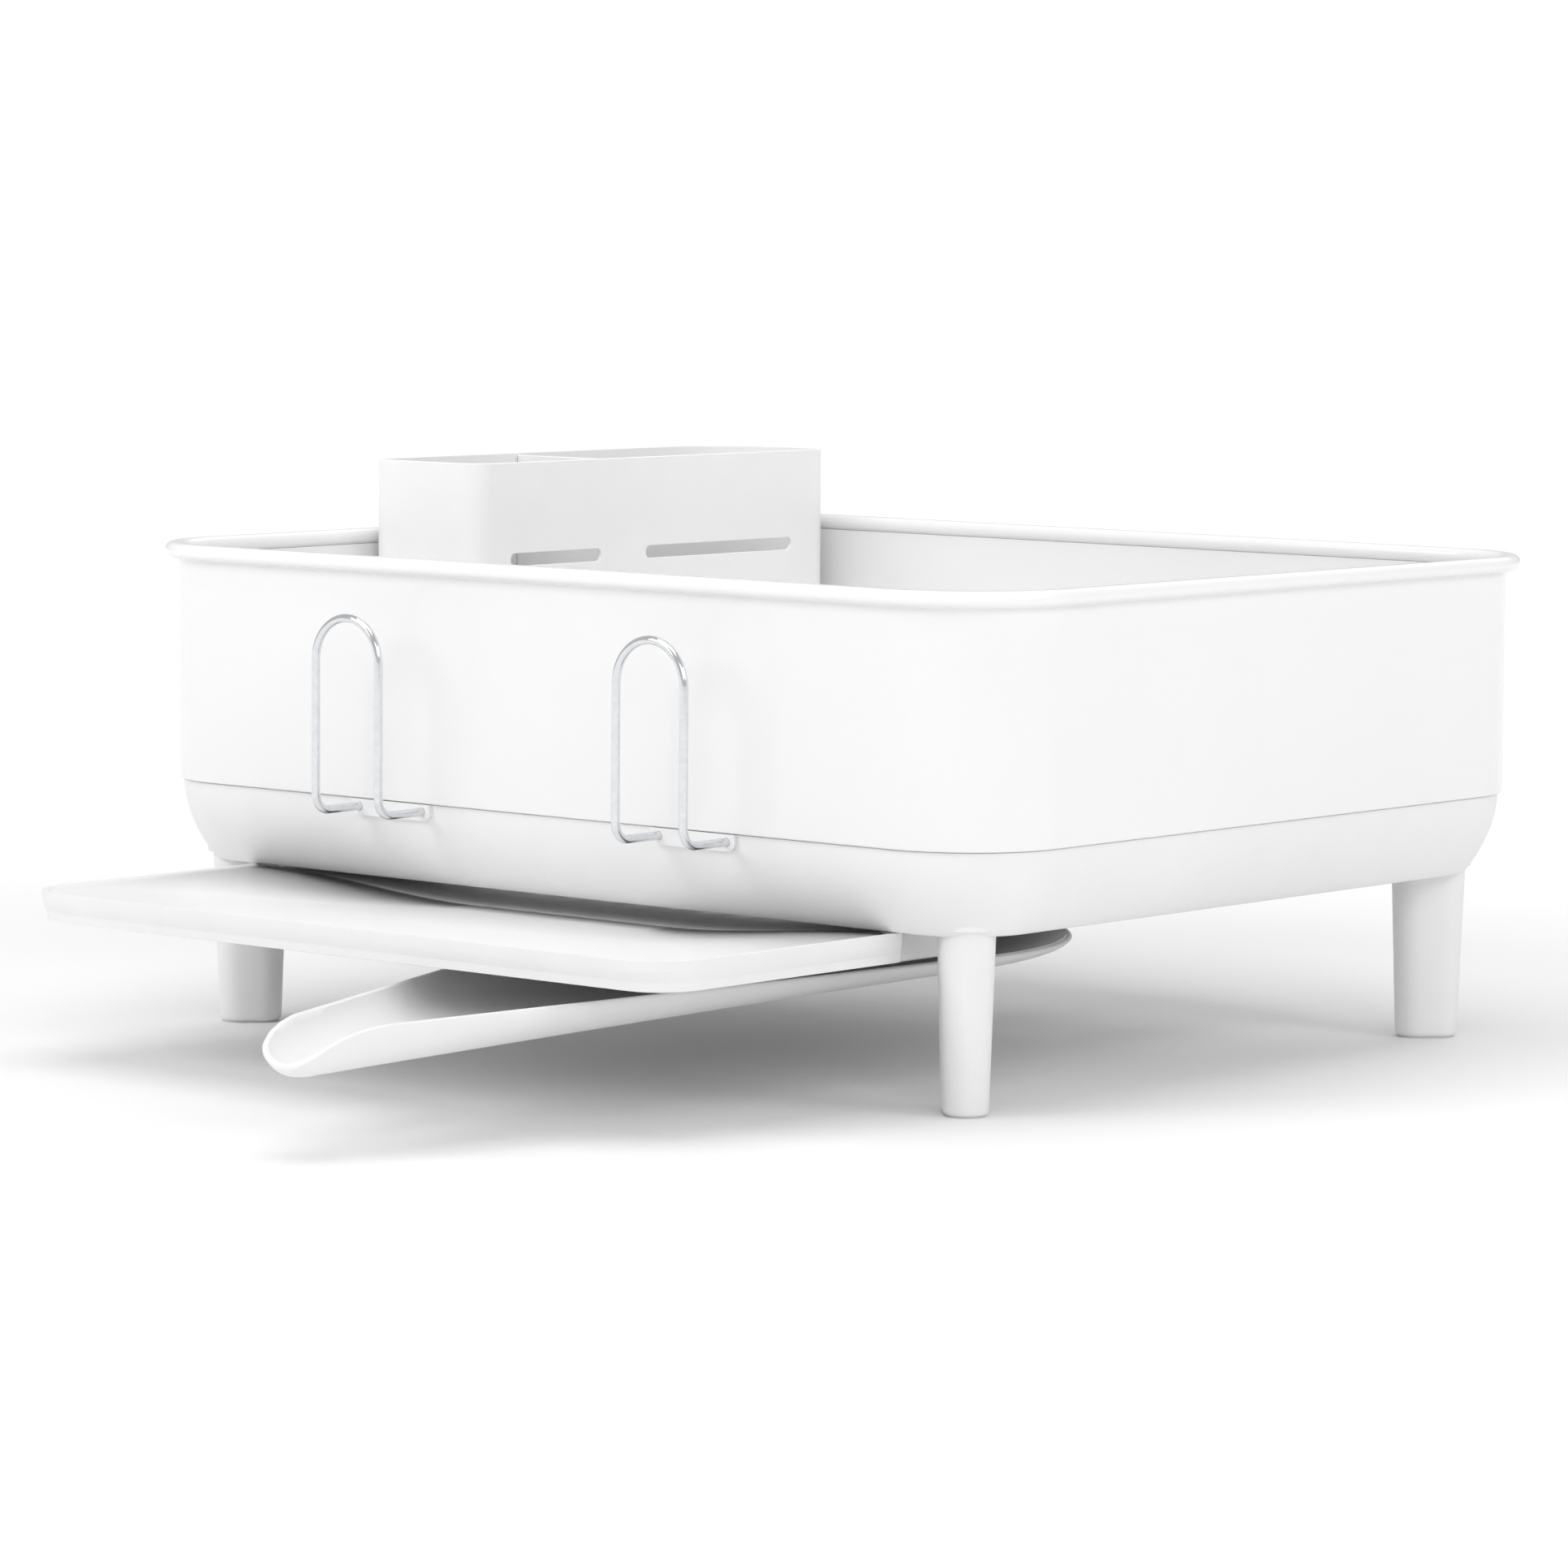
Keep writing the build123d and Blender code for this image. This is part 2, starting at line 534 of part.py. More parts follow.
def drip_tray():
    """A shallow pan: a tall wide head in front and a tail whose flanges lie in the rails."""
    head = tray_head_block(0, TRAY_BOTTOM_Z, TRAY_TOP_Z)
    neck = tray_neck(0, TRAY_STEP_Y - TRAY_WALL, TRAY_FLANGE_Z + TRAY_WALL / 2)
    tail_front = TRAY_NECK_Y - TRAY_NECK_SLOPE
    tail_plan = tray_outline(
        TRAY_REAR_HALF + TRAY_FLANGE, tail_front, TRAY_REAR_Y,
        TRAY_STEP_RADIUS, TRAY_TAIL_CORNER, TRAY_BOTTOM_Z,
    )
    tail = tray_tail(0, tail_front, TRAY_REAR_Y) & extrude(tail_plan, amount=TRAY_HEIGHT)
    pan = tray_head_block(TRAY_WALL, TRAY_BOTTOM_Z + TRAY_WALL, TRAY_TOP_Z + 1)
    way = tray_neck(TRAY_WALL, TRAY_STEP_Y - 2 * TRAY_CORNER, TRAY_TOP_Z + 1)
    trough = tray_tail(TRAY_WALL, tail_front - 2 * TRAY_WALL, TRAY_REAR_Y - TRAY_WALL)
    tray = head + neck + tail - pan - way - trough
    centre = (SPOUT_PIVOT_X, PIVOT_Y)
    tray += rod(SUMP_RADIUS, (*centre, SUMP_FLOOR_Z), (*centre, TRAY_BOTTOM_Z + TRAY_WALL))
    sump_top = SUMP_FLOOR_Z + TRAY_WALL
    tray -= rod(SUMP_RADIUS - TRAY_WALL, (*centre, sump_top), (*centre, TRAY_TOP_Z))
    for k in range(DRAIN_HOLES):
        turn = 2 * math.pi * k / DRAIN_HOLES
        ring = (PIVOT_POST_RADIUS + SUMP_RADIUS) / 2
        x = SPOUT_PIVOT_X + ring * math.cos(turn)
        y = PIVOT_Y + ring * math.sin(turn)
        tray -= rod(DRAIN_HOLE_RADIUS, (x, y, SUMP_FLOOR_Z - 1), (x, y, sump_top + 1))
    bush = PIVOT_PIN_RADIUS + PIVOT_CLEARANCE + BUSH_WALL
    return tray - rod(bush, (*centre, SUMP_FLOOR_Z - 1), (*centre, sump_top + 1))


def rail_screw_places():
    """Two screws up into the base along each rail."""
    x = TRAY_HALF_WIDTH + RAIL_FOOT / 2 + SCREW_EDGE
    levels = [RAIL_FRONT_Y + share * RAIL_LENGTH for share in RAIL_SCREW_SHARES]
    return [(side * x, y) for side in (-1, 1) for y in levels]


def rail_bar(side, x_low, x_high, z_low, z_high):
    """One flat leg of a rail, mirrored for the left side."""
    middle_y = (RAIL_FRONT_Y + RAIL_REAR_Y) / 2
    middle = Pos(side * (x_low + x_high) / 2, middle_y, (z_low + z_high) / 2)
    return middle * Box(x_high - x_low, RAIL_LENGTH, z_high - z_low)


def tray_rail(side):
    """An angle rail under the base: a top flange, a web and a foot that the tray hangs on."""
    inner = TRAY_HALF_WIDTH - RAIL_THICKNESS
    foot_top = TRAY_FLANGE_Z - SEAT_GAP
    low = foot_top - RAIL_THICKNESS
    flange_low = BASE_BOTTOM_Z - RAIL_THICKNESS
    flange_outer = TRAY_HALF_WIDTH + RAIL_FOOT + 2 * SCREW_EDGE
    rail = rail_bar(side, inner, TRAY_HALF_WIDTH, low, BASE_BOTTOM_Z)
    rail += rail_bar(side, inner - RAIL_FOOT, inner, low, foot_top)
    rail += rail_bar(side, TRAY_HALF_WIDTH, flange_outer, flange_low, BASE_BOTTOM_Z)
    for x, y in rail_screw_places():
        if x * side > 0:
            hole = SCREW_RADIUS + SCREW_CLEARANCE
            rail -= rod(hole, (x, y, flange_low - 1), (x, y, BASE_BOTTOM_Z + 1))
    return rail


def rail_screws():
    """Screws that hold the rails up to the base."""
    under = BASE_BOTTOM_Z - RAIL_THICKNESS
    screws = []
    for x, y in rail_screw_places():
        tip = BASE_BOTTOM_Z + RAIL_SCREW_LENGTH - SEAT_GAP
        shank = rod(SCREW_RADIUS, (x, y, under), (x, y, tip))
        head = rod(SCREW_HEAD_RADIUS, (x, y, under - SCREW_HEAD_HEIGHT), (x, y, under))
        screws.append(shank + head)
    return Part() + screws


# ---- spout --------------------------------------------------------------------------------
def spout_outline(bowl_radius, lip_radius, bowl_z, lip_z):
    """The spout's plan, a round bowl tapering to a round lip, on a plane that falls to the lip."""
    slope = math.atan2(bowl_z - lip_z, SPOUT_REACH)
    turned = Pos(SPOUT_PIVOT_X, PIVOT_Y, bowl_z) * Rot(0, 0, math.degrees(SPOUT_DIRECTION))
    plane = Plane(turned * Rot(0, math.degrees(slope), 0))
    lean = math.asin((bowl_radius - lip_radius) / SPOUT_REACH)
    bowl_side = (bowl_radius * math.sin(lean), bowl_radius * math.cos(lean))
    lip_side = (SPOUT_REACH + lip_radius * math.sin(lean), lip_radius * math.cos(lean))
    with BuildSketch(plane) as sketch:
        with BuildLine():
            Line(bowl_side, lip_side)
            ThreePointArc(lip_side, (SPOUT_REACH + lip_radius, 0), (lip_side[0], -lip_side[1]))
            Line((lip_side[0], -lip_side[1]), (bowl_side[0], -bowl_side[1]))
            ThreePointArc((bowl_side[0], -bowl_side[1]), (-bowl_radius, 0), bowl_side)
        make_face()
    return sketch.sketch


def spout_block(extra, lift, rise):
    """The spout's outside as a solid; extra draws it in, lift raises its foot, rise its top."""
    foot = spout_outline(
        BOWL_RADIUS - SPOUT_FLARE_BOWL - extra, LIP_RADIUS - SPOUT_FLARE_LIP - extra,
        SPOUT_RIM_Z - BOWL_DEPTH + lift, SPOUT_RIM_Z - SPOUT_RIM_FALL - LIP_DEPTH + lift,
    )
    top = spout_outline(
        BOWL_RADIUS - extra, LIP_RADIUS - extra, SPOUT_RIM_Z + rise, SPOUT_RIM_Z - SPOUT_RIM_FALL + rise
    )
    return loft([foot, top])


def spout():
    """A shallow open trough with a pivot pin in the bowl and a scooped lip."""
    body = spout_block(0, 0, 0) - spout_block(SPOUT_WALL, SPOUT_WALL, 0.01)
    centre = (SPOUT_PIVOT_X, PIVOT_Y)
    floor_z = SPOUT_RIM_Z - BOWL_DEPTH
    post_top = SUMP_FLOOR_Z - SEAT_GAP
    pin_top = SUMP_FLOOR_Z + TRAY_WALL + SEAT_GAP
    body += rod(PIVOT_POST_RADIUS, (*centre, floor_z + 1), (*centre, post_top))
    body += rod(PIVOT_PIN_RADIUS, (*centre, post_top), (*centre, pin_top))
    body -= rod(SCREW_RADIUS, (*centre, floor_z + 3), (*centre, pin_top + 1))
    tip = SPOUT_REACH + LIP_RADIUS
    edge_z = SPOUT_RIM_Z - SPOUT_RIM_FALL - LIP_DEPTH + LIP_EDGE
    curve = [(tip - back, edge_z + up) for back, up in LIP_CUT]
    side = Plane(
        origin=(SPOUT_PIVOT_X, PIVOT_Y, 0),
        x_dir=(math.cos(SPOUT_DIRECTION), math.sin(SPOUT_DIRECTION), 0),
        z_dir=(math.sin(SPOUT_DIRECTION), -math.cos(SPOUT_DIRECTION), 0),
    )
    with BuildSketch(side) as cut:
        with BuildLine():
            Polyline(curve[-1], (curve[0][0], curve[-1][1]), curve[0])
            Spline(*curve, tangents=((-1, 0), (-0.6, 0.8)))
        make_face()
    return body - extrude(cut.sketch, amount=3 * LIP_RADIUS, both=True)


def pivot_tube(outer, inner, low, high):
    """A ring about the spout's axis."""
    centre = (SPOUT_PIVOT_X, PIVOT_Y)
    tube = rod(outer, (*centre, low), (*centre, high))
    return tube - rod(inner, (*centre, low - 1), (*centre, high + 1))


def pivot_bush():
    """The bearing bush in the tray's sump that the spout's pin turns in."""
    bore = PIVOT_PIN_RADIUS + PIVOT_CLEARANCE
    return pivot_tube(bore + BUSH_WALL, bore, SUMP_FLOOR_Z, SUMP_FLOOR_Z + TRAY_WALL)


def pivot_washer():
    """The wide washer that keeps the pin from dropping out of the bush."""
    low = SUMP_FLOOR_Z + TRAY_WALL + SEAT_GAP
    outer = PIVOT_PIN_RADIUS + WASHER_WIDTH
    return pivot_tube(outer, SCREW_RADIUS + SCREW_CLEARANCE, low, low + WASHER_THICKNESS)


def pivot_screw():
    """The screw down through the washer into the pin."""
    centre = (SPOUT_PIVOT_X, PIVOT_Y)
    seat = SUMP_FLOOR_Z + TRAY_WALL + SEAT_GAP + WASHER_THICKNESS
    shank = rod(SCREW_RADIUS, (*centre, seat - PIVOT_SCREW_LENGTH), (*centre, seat))
    return shank + rod(SCREW_HEAD_RADIUS, (*centre, seat), (*centre, seat + SCREW_HEAD_HEIGHT))


# ---- cutlery caddy ------------------------------------------------------------------------
def caddy_outline(extra, z):
    """The caddy's plan, drawn in by extra, with a big back corner that follows the frame."""
    left = CADDY_LEFT_X + extra
    right = CADDY_RIGHT_X - extra
    front = CADDY_FRONT_Y + extra
    back = CADDY_BACK_Y - extra
    with BuildSketch(Plane.XY.offset(z)) as sketch:
        with Locations(((left + right) / 2, (front + back) / 2)):
            Rectangle(right - left, back - front)
        big = sketch.vertices().sort_by(Axis.Y)[-2:].sort_by(Axis.X)[0]
        fillet(big, CADDY_BACK_CORNER - extra)
        small = [v for v in sketch.vertices() if v.X > right - 1 or v.Y < front + 1]
        fillet(small, CADDY_CORNER - extra)
    return sketch.sketch


def caddy_body():
    """An open-topped box with two slots in its inner side and drain holes in its floor."""
    height = CADDY_TOP_Z - CADDY_BOTTOM_Z
    outside = extrude(caddy_outline(0, CADDY_BOTTOM_Z), amount=height)
    inside = extrude(caddy_outline(CADDY_WALL, CADDY_BOTTOM_Z + CADDY_FLOOR), amount=height)
    body = outside - inside
    slot_z = CADDY_SLOT_TOP_Z - CADDY_SLOT_HEIGHT / 2
    for start, end in slot_spans():
        middle = (CADDY_RIGHT_X + 1, (start + end) / 2, slot_z)
        face = Plane(origin=middle, x_dir=(0, 1, 0), z_dir=(-1, 0, 0))
        body -= extrude(face * SlotOverall(end - start, CADDY_SLOT_HEIGHT), amount=CADDY_WALL + 2)
    middle_x = (CADDY_LEFT_X + CADDY_RIGHT_X) / 2
    for share in CADDY_DRAIN_SHARES:
        place = Pos(middle_x, CADDY_FRONT_Y + share * CADDY_LENGTH, CADDY_BOTTOM_Z - 1)
        drain = place * SlotOverall(CADDY_DRAIN_LENGTH, CADDY_DRAIN_WIDTH)
        body -= extrude(drain, amount=CADDY_FLOOR + 2)
    return body


def slot_spans():
    """The two slots' ends along Y, one for each compartment."""
    front, before, after, back = CADDY_SLOT_MARGINS
    front_slot = (CADDY_FRONT_Y + front, CADDY_DIVIDER_Y - before)
    rear_slot = (CADDY_DIVIDER_Y + after, CADDY_BACK_Y - back)
    return [front_slot, rear_slot]


def caddy_divider():
    """The loose wall between the caddy's two compartments."""
    low = CADDY_BOTTOM_Z + CADDY_FLOOR + SEAT_GAP
    width = CADDY_WIDTH - 2 * CADDY_WALL - 2 * SEAT_GAP
    middle_x = (CADDY_LEFT_X + CADDY_RIGHT_X) / 2
    height = CADDY_TOP_Z - CADDY_DIVIDER_DROP - low
    return Pos(middle_x, CADDY_DIVIDER_Y, low + height / 2) * Box(width, CADDY_WALL, height)


# ---- grate and plate ribs -----------------------------------------------------------------
def drain_grate():
    """A flat panel with rows of drain slots that lies on the base's floor."""
    panel = rounded_block(
        GRATE_WIDTH, GRATE_DEPTH, GRATE_CORNER, GRATE_BOTTOM_Z, GRATE_TOP_Z, x=GRATE_CENTRE_X
    )
    columns = int((BASE_OPENING_WIDTH - GRATE_SLOT_WIDTH) // GRATE_SLOT_PITCH)
    row_pitch = (BASE_OPENING_DEPTH - GRATE_SLOT_BRIDGE) / GRATE_SLOT_ROWS
    slot = SlotOverall(row_pitch - GRATE_SLOT_BRIDGE, GRATE_SLOT_WIDTH)
    slots = []
    for column in range(columns):
        x = GRATE_CENTRE_X + (column - (columns - 1) / 2) * GRATE_SLOT_PITCH
        for row in range(GRATE_SLOT_ROWS):
            y = (row - (GRATE_SLOT_ROWS - 1) / 2) * row_pitch
            slots.append(Pos(x, y, GRATE_BOTTOM_Z - 1) * Rot(0, 0, 90) * slot)
    panel -= extrude(Sketch() + slots, amount=GRATE_THICKNESS + 2)
    for sign_x, sign_y in LEG_CORNERS.values():
        margin = 2 * (BASE_WALL + GRATE_LEG_GAP)
        house = leg_outline(
            sign_x, sign_y, LEG_TOP_LENGTH + margin, LEG_TOP_WIDTH + margin, GRATE_BOTTOM_Z - 1
        )
        panel -= extrude(house, amount=GRATE_THICKNESS + 2)
    return panel


def plate_ribs():
    """Upright ribs on two strips; plates stand between them."""
    low = GRATE_TOP_Z + SEAT_GAP
    span = (RIB_COUNT - 1) * RIB_PITCH
    strip = Box(span + 2 * RIB_STRIP_END, RIB_STRIP_WIDTH, RIB_STRIP_THICKNESS)
    strip_y = (RIB_LENGTH - RIB_STRIP_WIDTH) / 2
    middle_x = RIB_FIRST_X + span / 2
    middle_z = low + RIB_STRIP_THICKNESS / 2
    rack = Pos(middle_x, -strip_y, middle_z) * strip + Pos(middle_x, strip_y, middle_z) * strip
    outline = Rectangle(RIB_LENGTH, RIB_HEIGHT)
    outline = fillet(outline.vertices().group_by(Axis.Y)[-1], RIB_HEIGHT / 2)
    for k in range(RIB_COUNT):
        corner = (RIB_FIRST_X + k * RIB_PITCH - RIB_THICKNESS / 2, 0, low + RIB_HEIGHT / 2)
        face = Plane(origin=corner, x_dir=(0, 1, 0), z_dir=(1, 0, 0))
        rack += extrude(face * outline, amount=RIB_THICKNESS)
    return rack


# ---- write the pieces ---------------------------------------------------------------------
pieces = {"steel_frame": steel_frame(), "frame_screws": flange_screws(), "base_tub": base_tub()}
for corner_name, corner_signs in LEG_CORNERS.items():
    pieces[f"leg_{corner_name}"] = leg(*corner_signs)
    pieces[f"foot_pad_{corner_name}"] = foot_pad(*corner_signs)
pieces["leg_screws"] = leg_screws()
for hook_side, hook_x in HOOK_CENTRES.items():
    pieces[f"hook_guide_{hook_side}"] = hook_guide(hook_x)
    pieces[f"cup_hook_{hook_side}"] = cup_hook(hook_x)
    pieces[f"hook_stops_{hook_side}"] = hook_stops(hook_x)
pieces["tray_rail_left"] = tray_rail(-1)
pieces["tray_rail_right"] = tray_rail(1)
pieces["rail_screws"] = rail_screws()
pieces["drip_tray"] = drip_tray()
pieces["spout"] = spout()
pieces["pivot_bush"] = pivot_bush()
pieces["pivot_washer"] = pivot_washer()
pieces["pivot_screw"] = pivot_screw()
pieces["caddy_body"] = caddy_body()
pieces["caddy_divider"] = caddy_divider()
pieces["drain_grate"] = drain_grate()
pieces["plate_ribs"] = plate_ribs()

# the origin goes on the worktop below the middle of the whole object's box
boxes = [piece.bounding_box() for piece in pieces.values()]
shift_x = -(min(box.min.X for box in boxes) + max(box.max.X for box in boxes)) / 2
shift_y = -(min(box.min.Y for box in boxes) + max(box.max.Y for box in boxes)) / 2
for piece_name, piece in pieces.items():
    export_step(Pos(shift_x, shift_y, 0) * piece, f"parts/{piece_name}.step")
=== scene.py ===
"""Looks of a dish drying rack: a powder-coated steel wall on a moulded base with four legs, wire cup
hooks, a sliding drip tray, a swivelling spout, a cutlery caddy and a plate grate.
Metres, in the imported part's own frame.  The sections follow the order of assembly."""

import math

import bmesh
import bpy
import numpy as np
from mathutils import Matrix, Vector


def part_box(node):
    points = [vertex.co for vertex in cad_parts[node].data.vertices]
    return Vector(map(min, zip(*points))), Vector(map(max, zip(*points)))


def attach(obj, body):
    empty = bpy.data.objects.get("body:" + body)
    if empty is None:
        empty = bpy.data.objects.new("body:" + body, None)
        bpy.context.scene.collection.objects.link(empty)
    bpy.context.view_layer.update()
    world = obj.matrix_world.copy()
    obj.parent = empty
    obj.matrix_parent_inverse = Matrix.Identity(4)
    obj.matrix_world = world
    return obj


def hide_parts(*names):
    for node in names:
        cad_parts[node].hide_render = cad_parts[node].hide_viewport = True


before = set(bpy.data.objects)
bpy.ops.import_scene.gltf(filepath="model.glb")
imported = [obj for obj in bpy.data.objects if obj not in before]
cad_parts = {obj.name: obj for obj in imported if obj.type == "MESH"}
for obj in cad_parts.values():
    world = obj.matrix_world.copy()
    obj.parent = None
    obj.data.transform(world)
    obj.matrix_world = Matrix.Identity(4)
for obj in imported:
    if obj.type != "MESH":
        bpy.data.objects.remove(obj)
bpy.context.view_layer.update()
MM = 0.001

# ---- Camera -------------------------------------------------------------------------------
# The view is from the front right, a little above the rim, with a long lens, so upright edges
# stay almost parallel.  The rack's wall is centred on WALL_MIDDLE.
rim_low, rim_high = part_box("steel_frame")
WALL_MIDDLE = ((rim_low[0] + rim_high[0]) / 2, (rim_low[1] + rim_high[1]) / 2)
AZIMUTH = math.radians(40.744)
ELEVATION = math.radians(5.531)
ROLL = math.radians(0.4155)
DISTANCE = 2912.87 * MM
AIM_ACROSS = -24.551 * MM
AIM_UP = 111.987 * MM

back = np.array([
    math.sin(AZIMUTH) * math.cos(ELEVATION),
    -math.cos(AZIMUTH) * math.cos(ELEVATION),
    math.sin(ELEVATION),
])
right = np.array([math.cos(AZIMUTH), math.sin(AZIMUTH), 0.0])
up = np.cross(back, right)
turned_right = right * math.cos(ROLL) + up * math.sin(ROLL)
turned_up = up * math.cos(ROLL) - right * math.sin(ROLL)
aim = right * AIM_ACROSS + up * AIM_UP + np.array([*WALL_MIDDLE, 0.0])
camera_data = bpy.data.cameras.new("camera")
camera_data.sensor_width = 36.0
camera_data.lens = 145.54
camera = bpy.data.objects.new("camera", camera_data)
bpy.context.scene.collection.objects.link(camera)
place = np.eye(4)
place[:3, 0] = turned_right
place[:3, 1] = turned_up
place[:3, 2] = back
place[:3, 3] = aim + back * DISTANCE
camera.matrix_world = Matrix(place.tolist())
bpy.context.scene.camera = camera


# ---- Moulded base -------------------------------------------------------------------------
# One injection-moulded ABS tub with a spark-eroded satin skin.  Its wall curves in to the foot,
# a ring at the top carries the steel wall, and four pockets in the floor take the legs.
class Patch:
    """One socket of a finish.  Arithmetic on patches adds the Math nodes that it needs."""

    def __init__(self, tree, socket):
        self.tree = tree
        self.socket = socket

    def node(self, kind, settings=None, inputs=None, output=0):
        """Adds a node: its settings go in first, then the values or links of its sockets."""
        made = self.tree.nodes.new(kind)
        for name, value in (settings or {}).items():
            if name == "stops":
                for stop, (position, colour) in zip(made.color_ramp.elements, value):
                    stop.position = position
                    stop.color = colour
            else:
                setattr(made, name, value)
        for name, value in (inputs or {}).items():
            if isinstance(value, Patch):
                self.tree.links.new(value.socket, made.inputs[name])
            else:
                made.inputs[name].default_value = value
        return Patch(self.tree, made.outputs[output])

    def maths(self, operation, first, second=0.0):
        return self.node("ShaderNodeMath", {"operation": operation}, {0: first, 1: second})

    def __add__(self, other):
        return self.maths("ADD", self, other)

    def __mul__(self, other):
        return self.maths("MULTIPLY", self, other)

    def __sub__(self, other):
        return self.maths("SUBTRACT", self, other)

    def __rsub__(self, other):
        return self.maths("SUBTRACT", other, self)

    __radd__ = __add__
    __rmul__ = __mul__


def new_finish(name):
    """An empty material: its first patch, its shader and the material itself."""
    material = bpy.data.materials.new(name)
    material.use_nodes = True
    tree = material.node_tree
    shader = tree.nodes["Principled BSDF"]
    place = Patch(tree, None).node("ShaderNodeTexCoord", output="Object")
    return place, shader, material


def moulded_plastic(name, tone, roughness, grain=1.0):
    """Satin moulded plastic: faint cloudiness in the tone, an eroded-mould grain and handling."""
    place, shader, material = new_finish(name)
    cloud = place.node("ShaderNodeTexNoise", None, {"Vector": place, "Scale": 9.0, "Detail": 3.0})
    mottle = place.node("ShaderNodeTexNoise", None, {"Vector": place, "Scale": 60.0, "Detail": 2.0})
    shade = cloud * 0.7 + mottle * 0.3
    light = [min(1.0, channel * 1.015) for channel in tone]
    dark = [channel * 0.975 for channel in tone]
    ramp = place.node(
        "ShaderNodeValToRGB", {"stops": ((0.3, (*dark, 1.0)), (0.7, (*light, 1.0)))}, {"Fac": shade}
    )
    eroded = place.node(
        "ShaderNodeTexNoise", None, {"Vector": place, "Scale": 1400.0, "Detail": 2.0, "Roughness": 0.6}
    )
    bump = place.node(
        "ShaderNodeBump", None, {"Strength": 0.25 * grain, "Distance": 0.00004, "Height": eroded}
    )
    rough = roughness + (mottle - 0.5) * 0.10 + (eroded - 0.5) * 0.06
    for socket, patch in (("Base Color", ramp), ("Roughness", rough), ("Normal", bump)):
        material.node_tree.links.new(patch.socket, shader.inputs[socket])
    shader.inputs["IOR"].default_value = 1.5
    return material


def outline(middle, half, radius, z, arc=12):
    """Points round a rectangle with rounded corners, anticlockwise from the front right."""
    points = []
    for (sign_x, sign_y), start in zip(((1, -1), (1, 1), (-1, 1), (-1, -1)), (-90, 0, 90, 180)):
        for step in range(arc + 1):
            turn = math.radians(start + 90 * step / arc)
            points.append((
                middle[0] + sign_x * (half[0] - radius) + radius * math.cos(turn),
                middle[1] + sign_y * (half[1] - radius) + radius * math.sin(turn),
                z,
            ))
    return points


def skin(rings, closed=False):
    """Vertices and faces between outlines of as many points each; ends are filled or joined."""
    count = len(rings[0])
    vertices = [point for ring in rings for point in ring]
    faces = []
    for ring in range(len(rings) if closed else len(rings) - 1):
        first = ring * count
        second = (ring + 1) % len(rings) * count
        for k in range(count):
            n = (k + 1) % count
            faces.append((first + k, first + n, second + n, second + k))
    if not closed:
        faces.append(tuple(reversed(range(count))))
        faces.append(tuple(range((len(rings) - 1) * count, len(rings) * count)))
    return vertices, faces


def new_piece(name, shells, material, sharp=32.0):
    """One object from closed shells, smooth but for its edges sharper than an angle."""
    vertices = []
    faces = []
    for shell_vertices, shell_faces in shells:
        faces += [tuple(len(vertices) + corner for corner in face) for face in shell_faces]
        vertices += [tuple(map(float, vertex)) for vertex in shell_vertices]
    mesh = bpy.data.meshes.new(name)
    mesh.from_pydata(vertices, [], faces)
    mesh.update()
    mesh.polygons.foreach_set("use_smooth", [True] * len(mesh.polygons))
    mesh.set_sharp_from_angle(angle=math.radians(sharp))
    mesh.materials.append(material)
    piece = bpy.data.objects.new(name, mesh)
    bpy.context.scene.collection.objects.link(piece)
    return piece


def dress(node, material):
    """Gives a carried-over node its finish."""
    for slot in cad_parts[node].material_slots:
        slot.material = material


WALL_HALF = ((rim_high[0] - rim_low[0]) / 2 - 6.5 * MM, (rim_high[1] - rim_low[1]) / 2 - 6.5 * MM)
WALL_CORNER = 50 * MM
SEAM = rim_low[2] - 0.3 * MM
base_low, base_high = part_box("base_tub")
BASE_FOOT = base_low[2]
BASE_FLOOR = 3.0 * MM
BASE_THICK = 2.6 * MM
BASE_INSET_TOP = 2.0 * MM
BASE_INSET_FOOT = 16.5 * MM
BASE_RING = 12.0 * MM
BASE_RING_HEIGHT = 6.0 * MM


def wall_ring(inset, z, arc=24):
    """An outline that follows the wall, drawn in by an inset."""
    half = (WALL_HALF[0] - inset, WALL_HALF[1] - inset)
    return outline(WALL_MIDDLE, half, WALL_CORNER - inset, z, arc)


def base_inset(share):
    """How far the base's outside stands in from the wall, from the seam (0) to its foot (1)."""
    return BASE_INSET_TOP + (BASE_INSET_FOOT - BASE_INSET_TOP) * share ** 1.9


BASE_HEIGHT = SEAM - BASE_FOOT
grate_low, grate_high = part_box("drain_grate")
opening_half = (
    (grate_high[0] - grate_low[0]) / 2 - 12 * MM,
    (grate_high[1] - grate_low[1]) / 2 - 12 * MM,
)
opening_middle = ((grate_low[0] + grate_high[0]) / 2, (grate_low[1] + grate_high[1]) / 2)
edge = 0.5 * MM
base_rings = [
    wall_ring(BASE_INSET_TOP + 2 * edge, SEAM),
    wall_ring(BASE_INSET_TOP + 0.3 * edge, SEAM - 0.3 * edge),
    wall_ring(BASE_INSET_TOP, SEAM - 1.2 * edge),
]
for step in range(1, 15):
    share = 0.05 + 0.92 * step / 15
    base_rings.append(wall_ring(base_inset(share), SEAM - share * BASE_HEIGHT))
base_rings += [
    wall_ring(BASE_INSET_FOOT - 0.4 * edge, BASE_FOOT + 1.4 * edge),
    wall_ring(BASE_INSET_FOOT + 0.7 * edge, BASE_FOOT + 0.4 * edge),
    wall_ring(BASE_INSET_FOOT + 2.4 * edge, BASE_FOOT),
    outline(opening_middle, opening_half, 12 * MM, BASE_FOOT, 24),
    outline(opening_middle, opening_half, 12 * MM, BASE_FOOT + BASE_FLOOR, 24),
    wall_ring(BASE_INSET_FOOT + BASE_THICK + 2 * MM, BASE_FOOT + BASE_FLOOR),
]
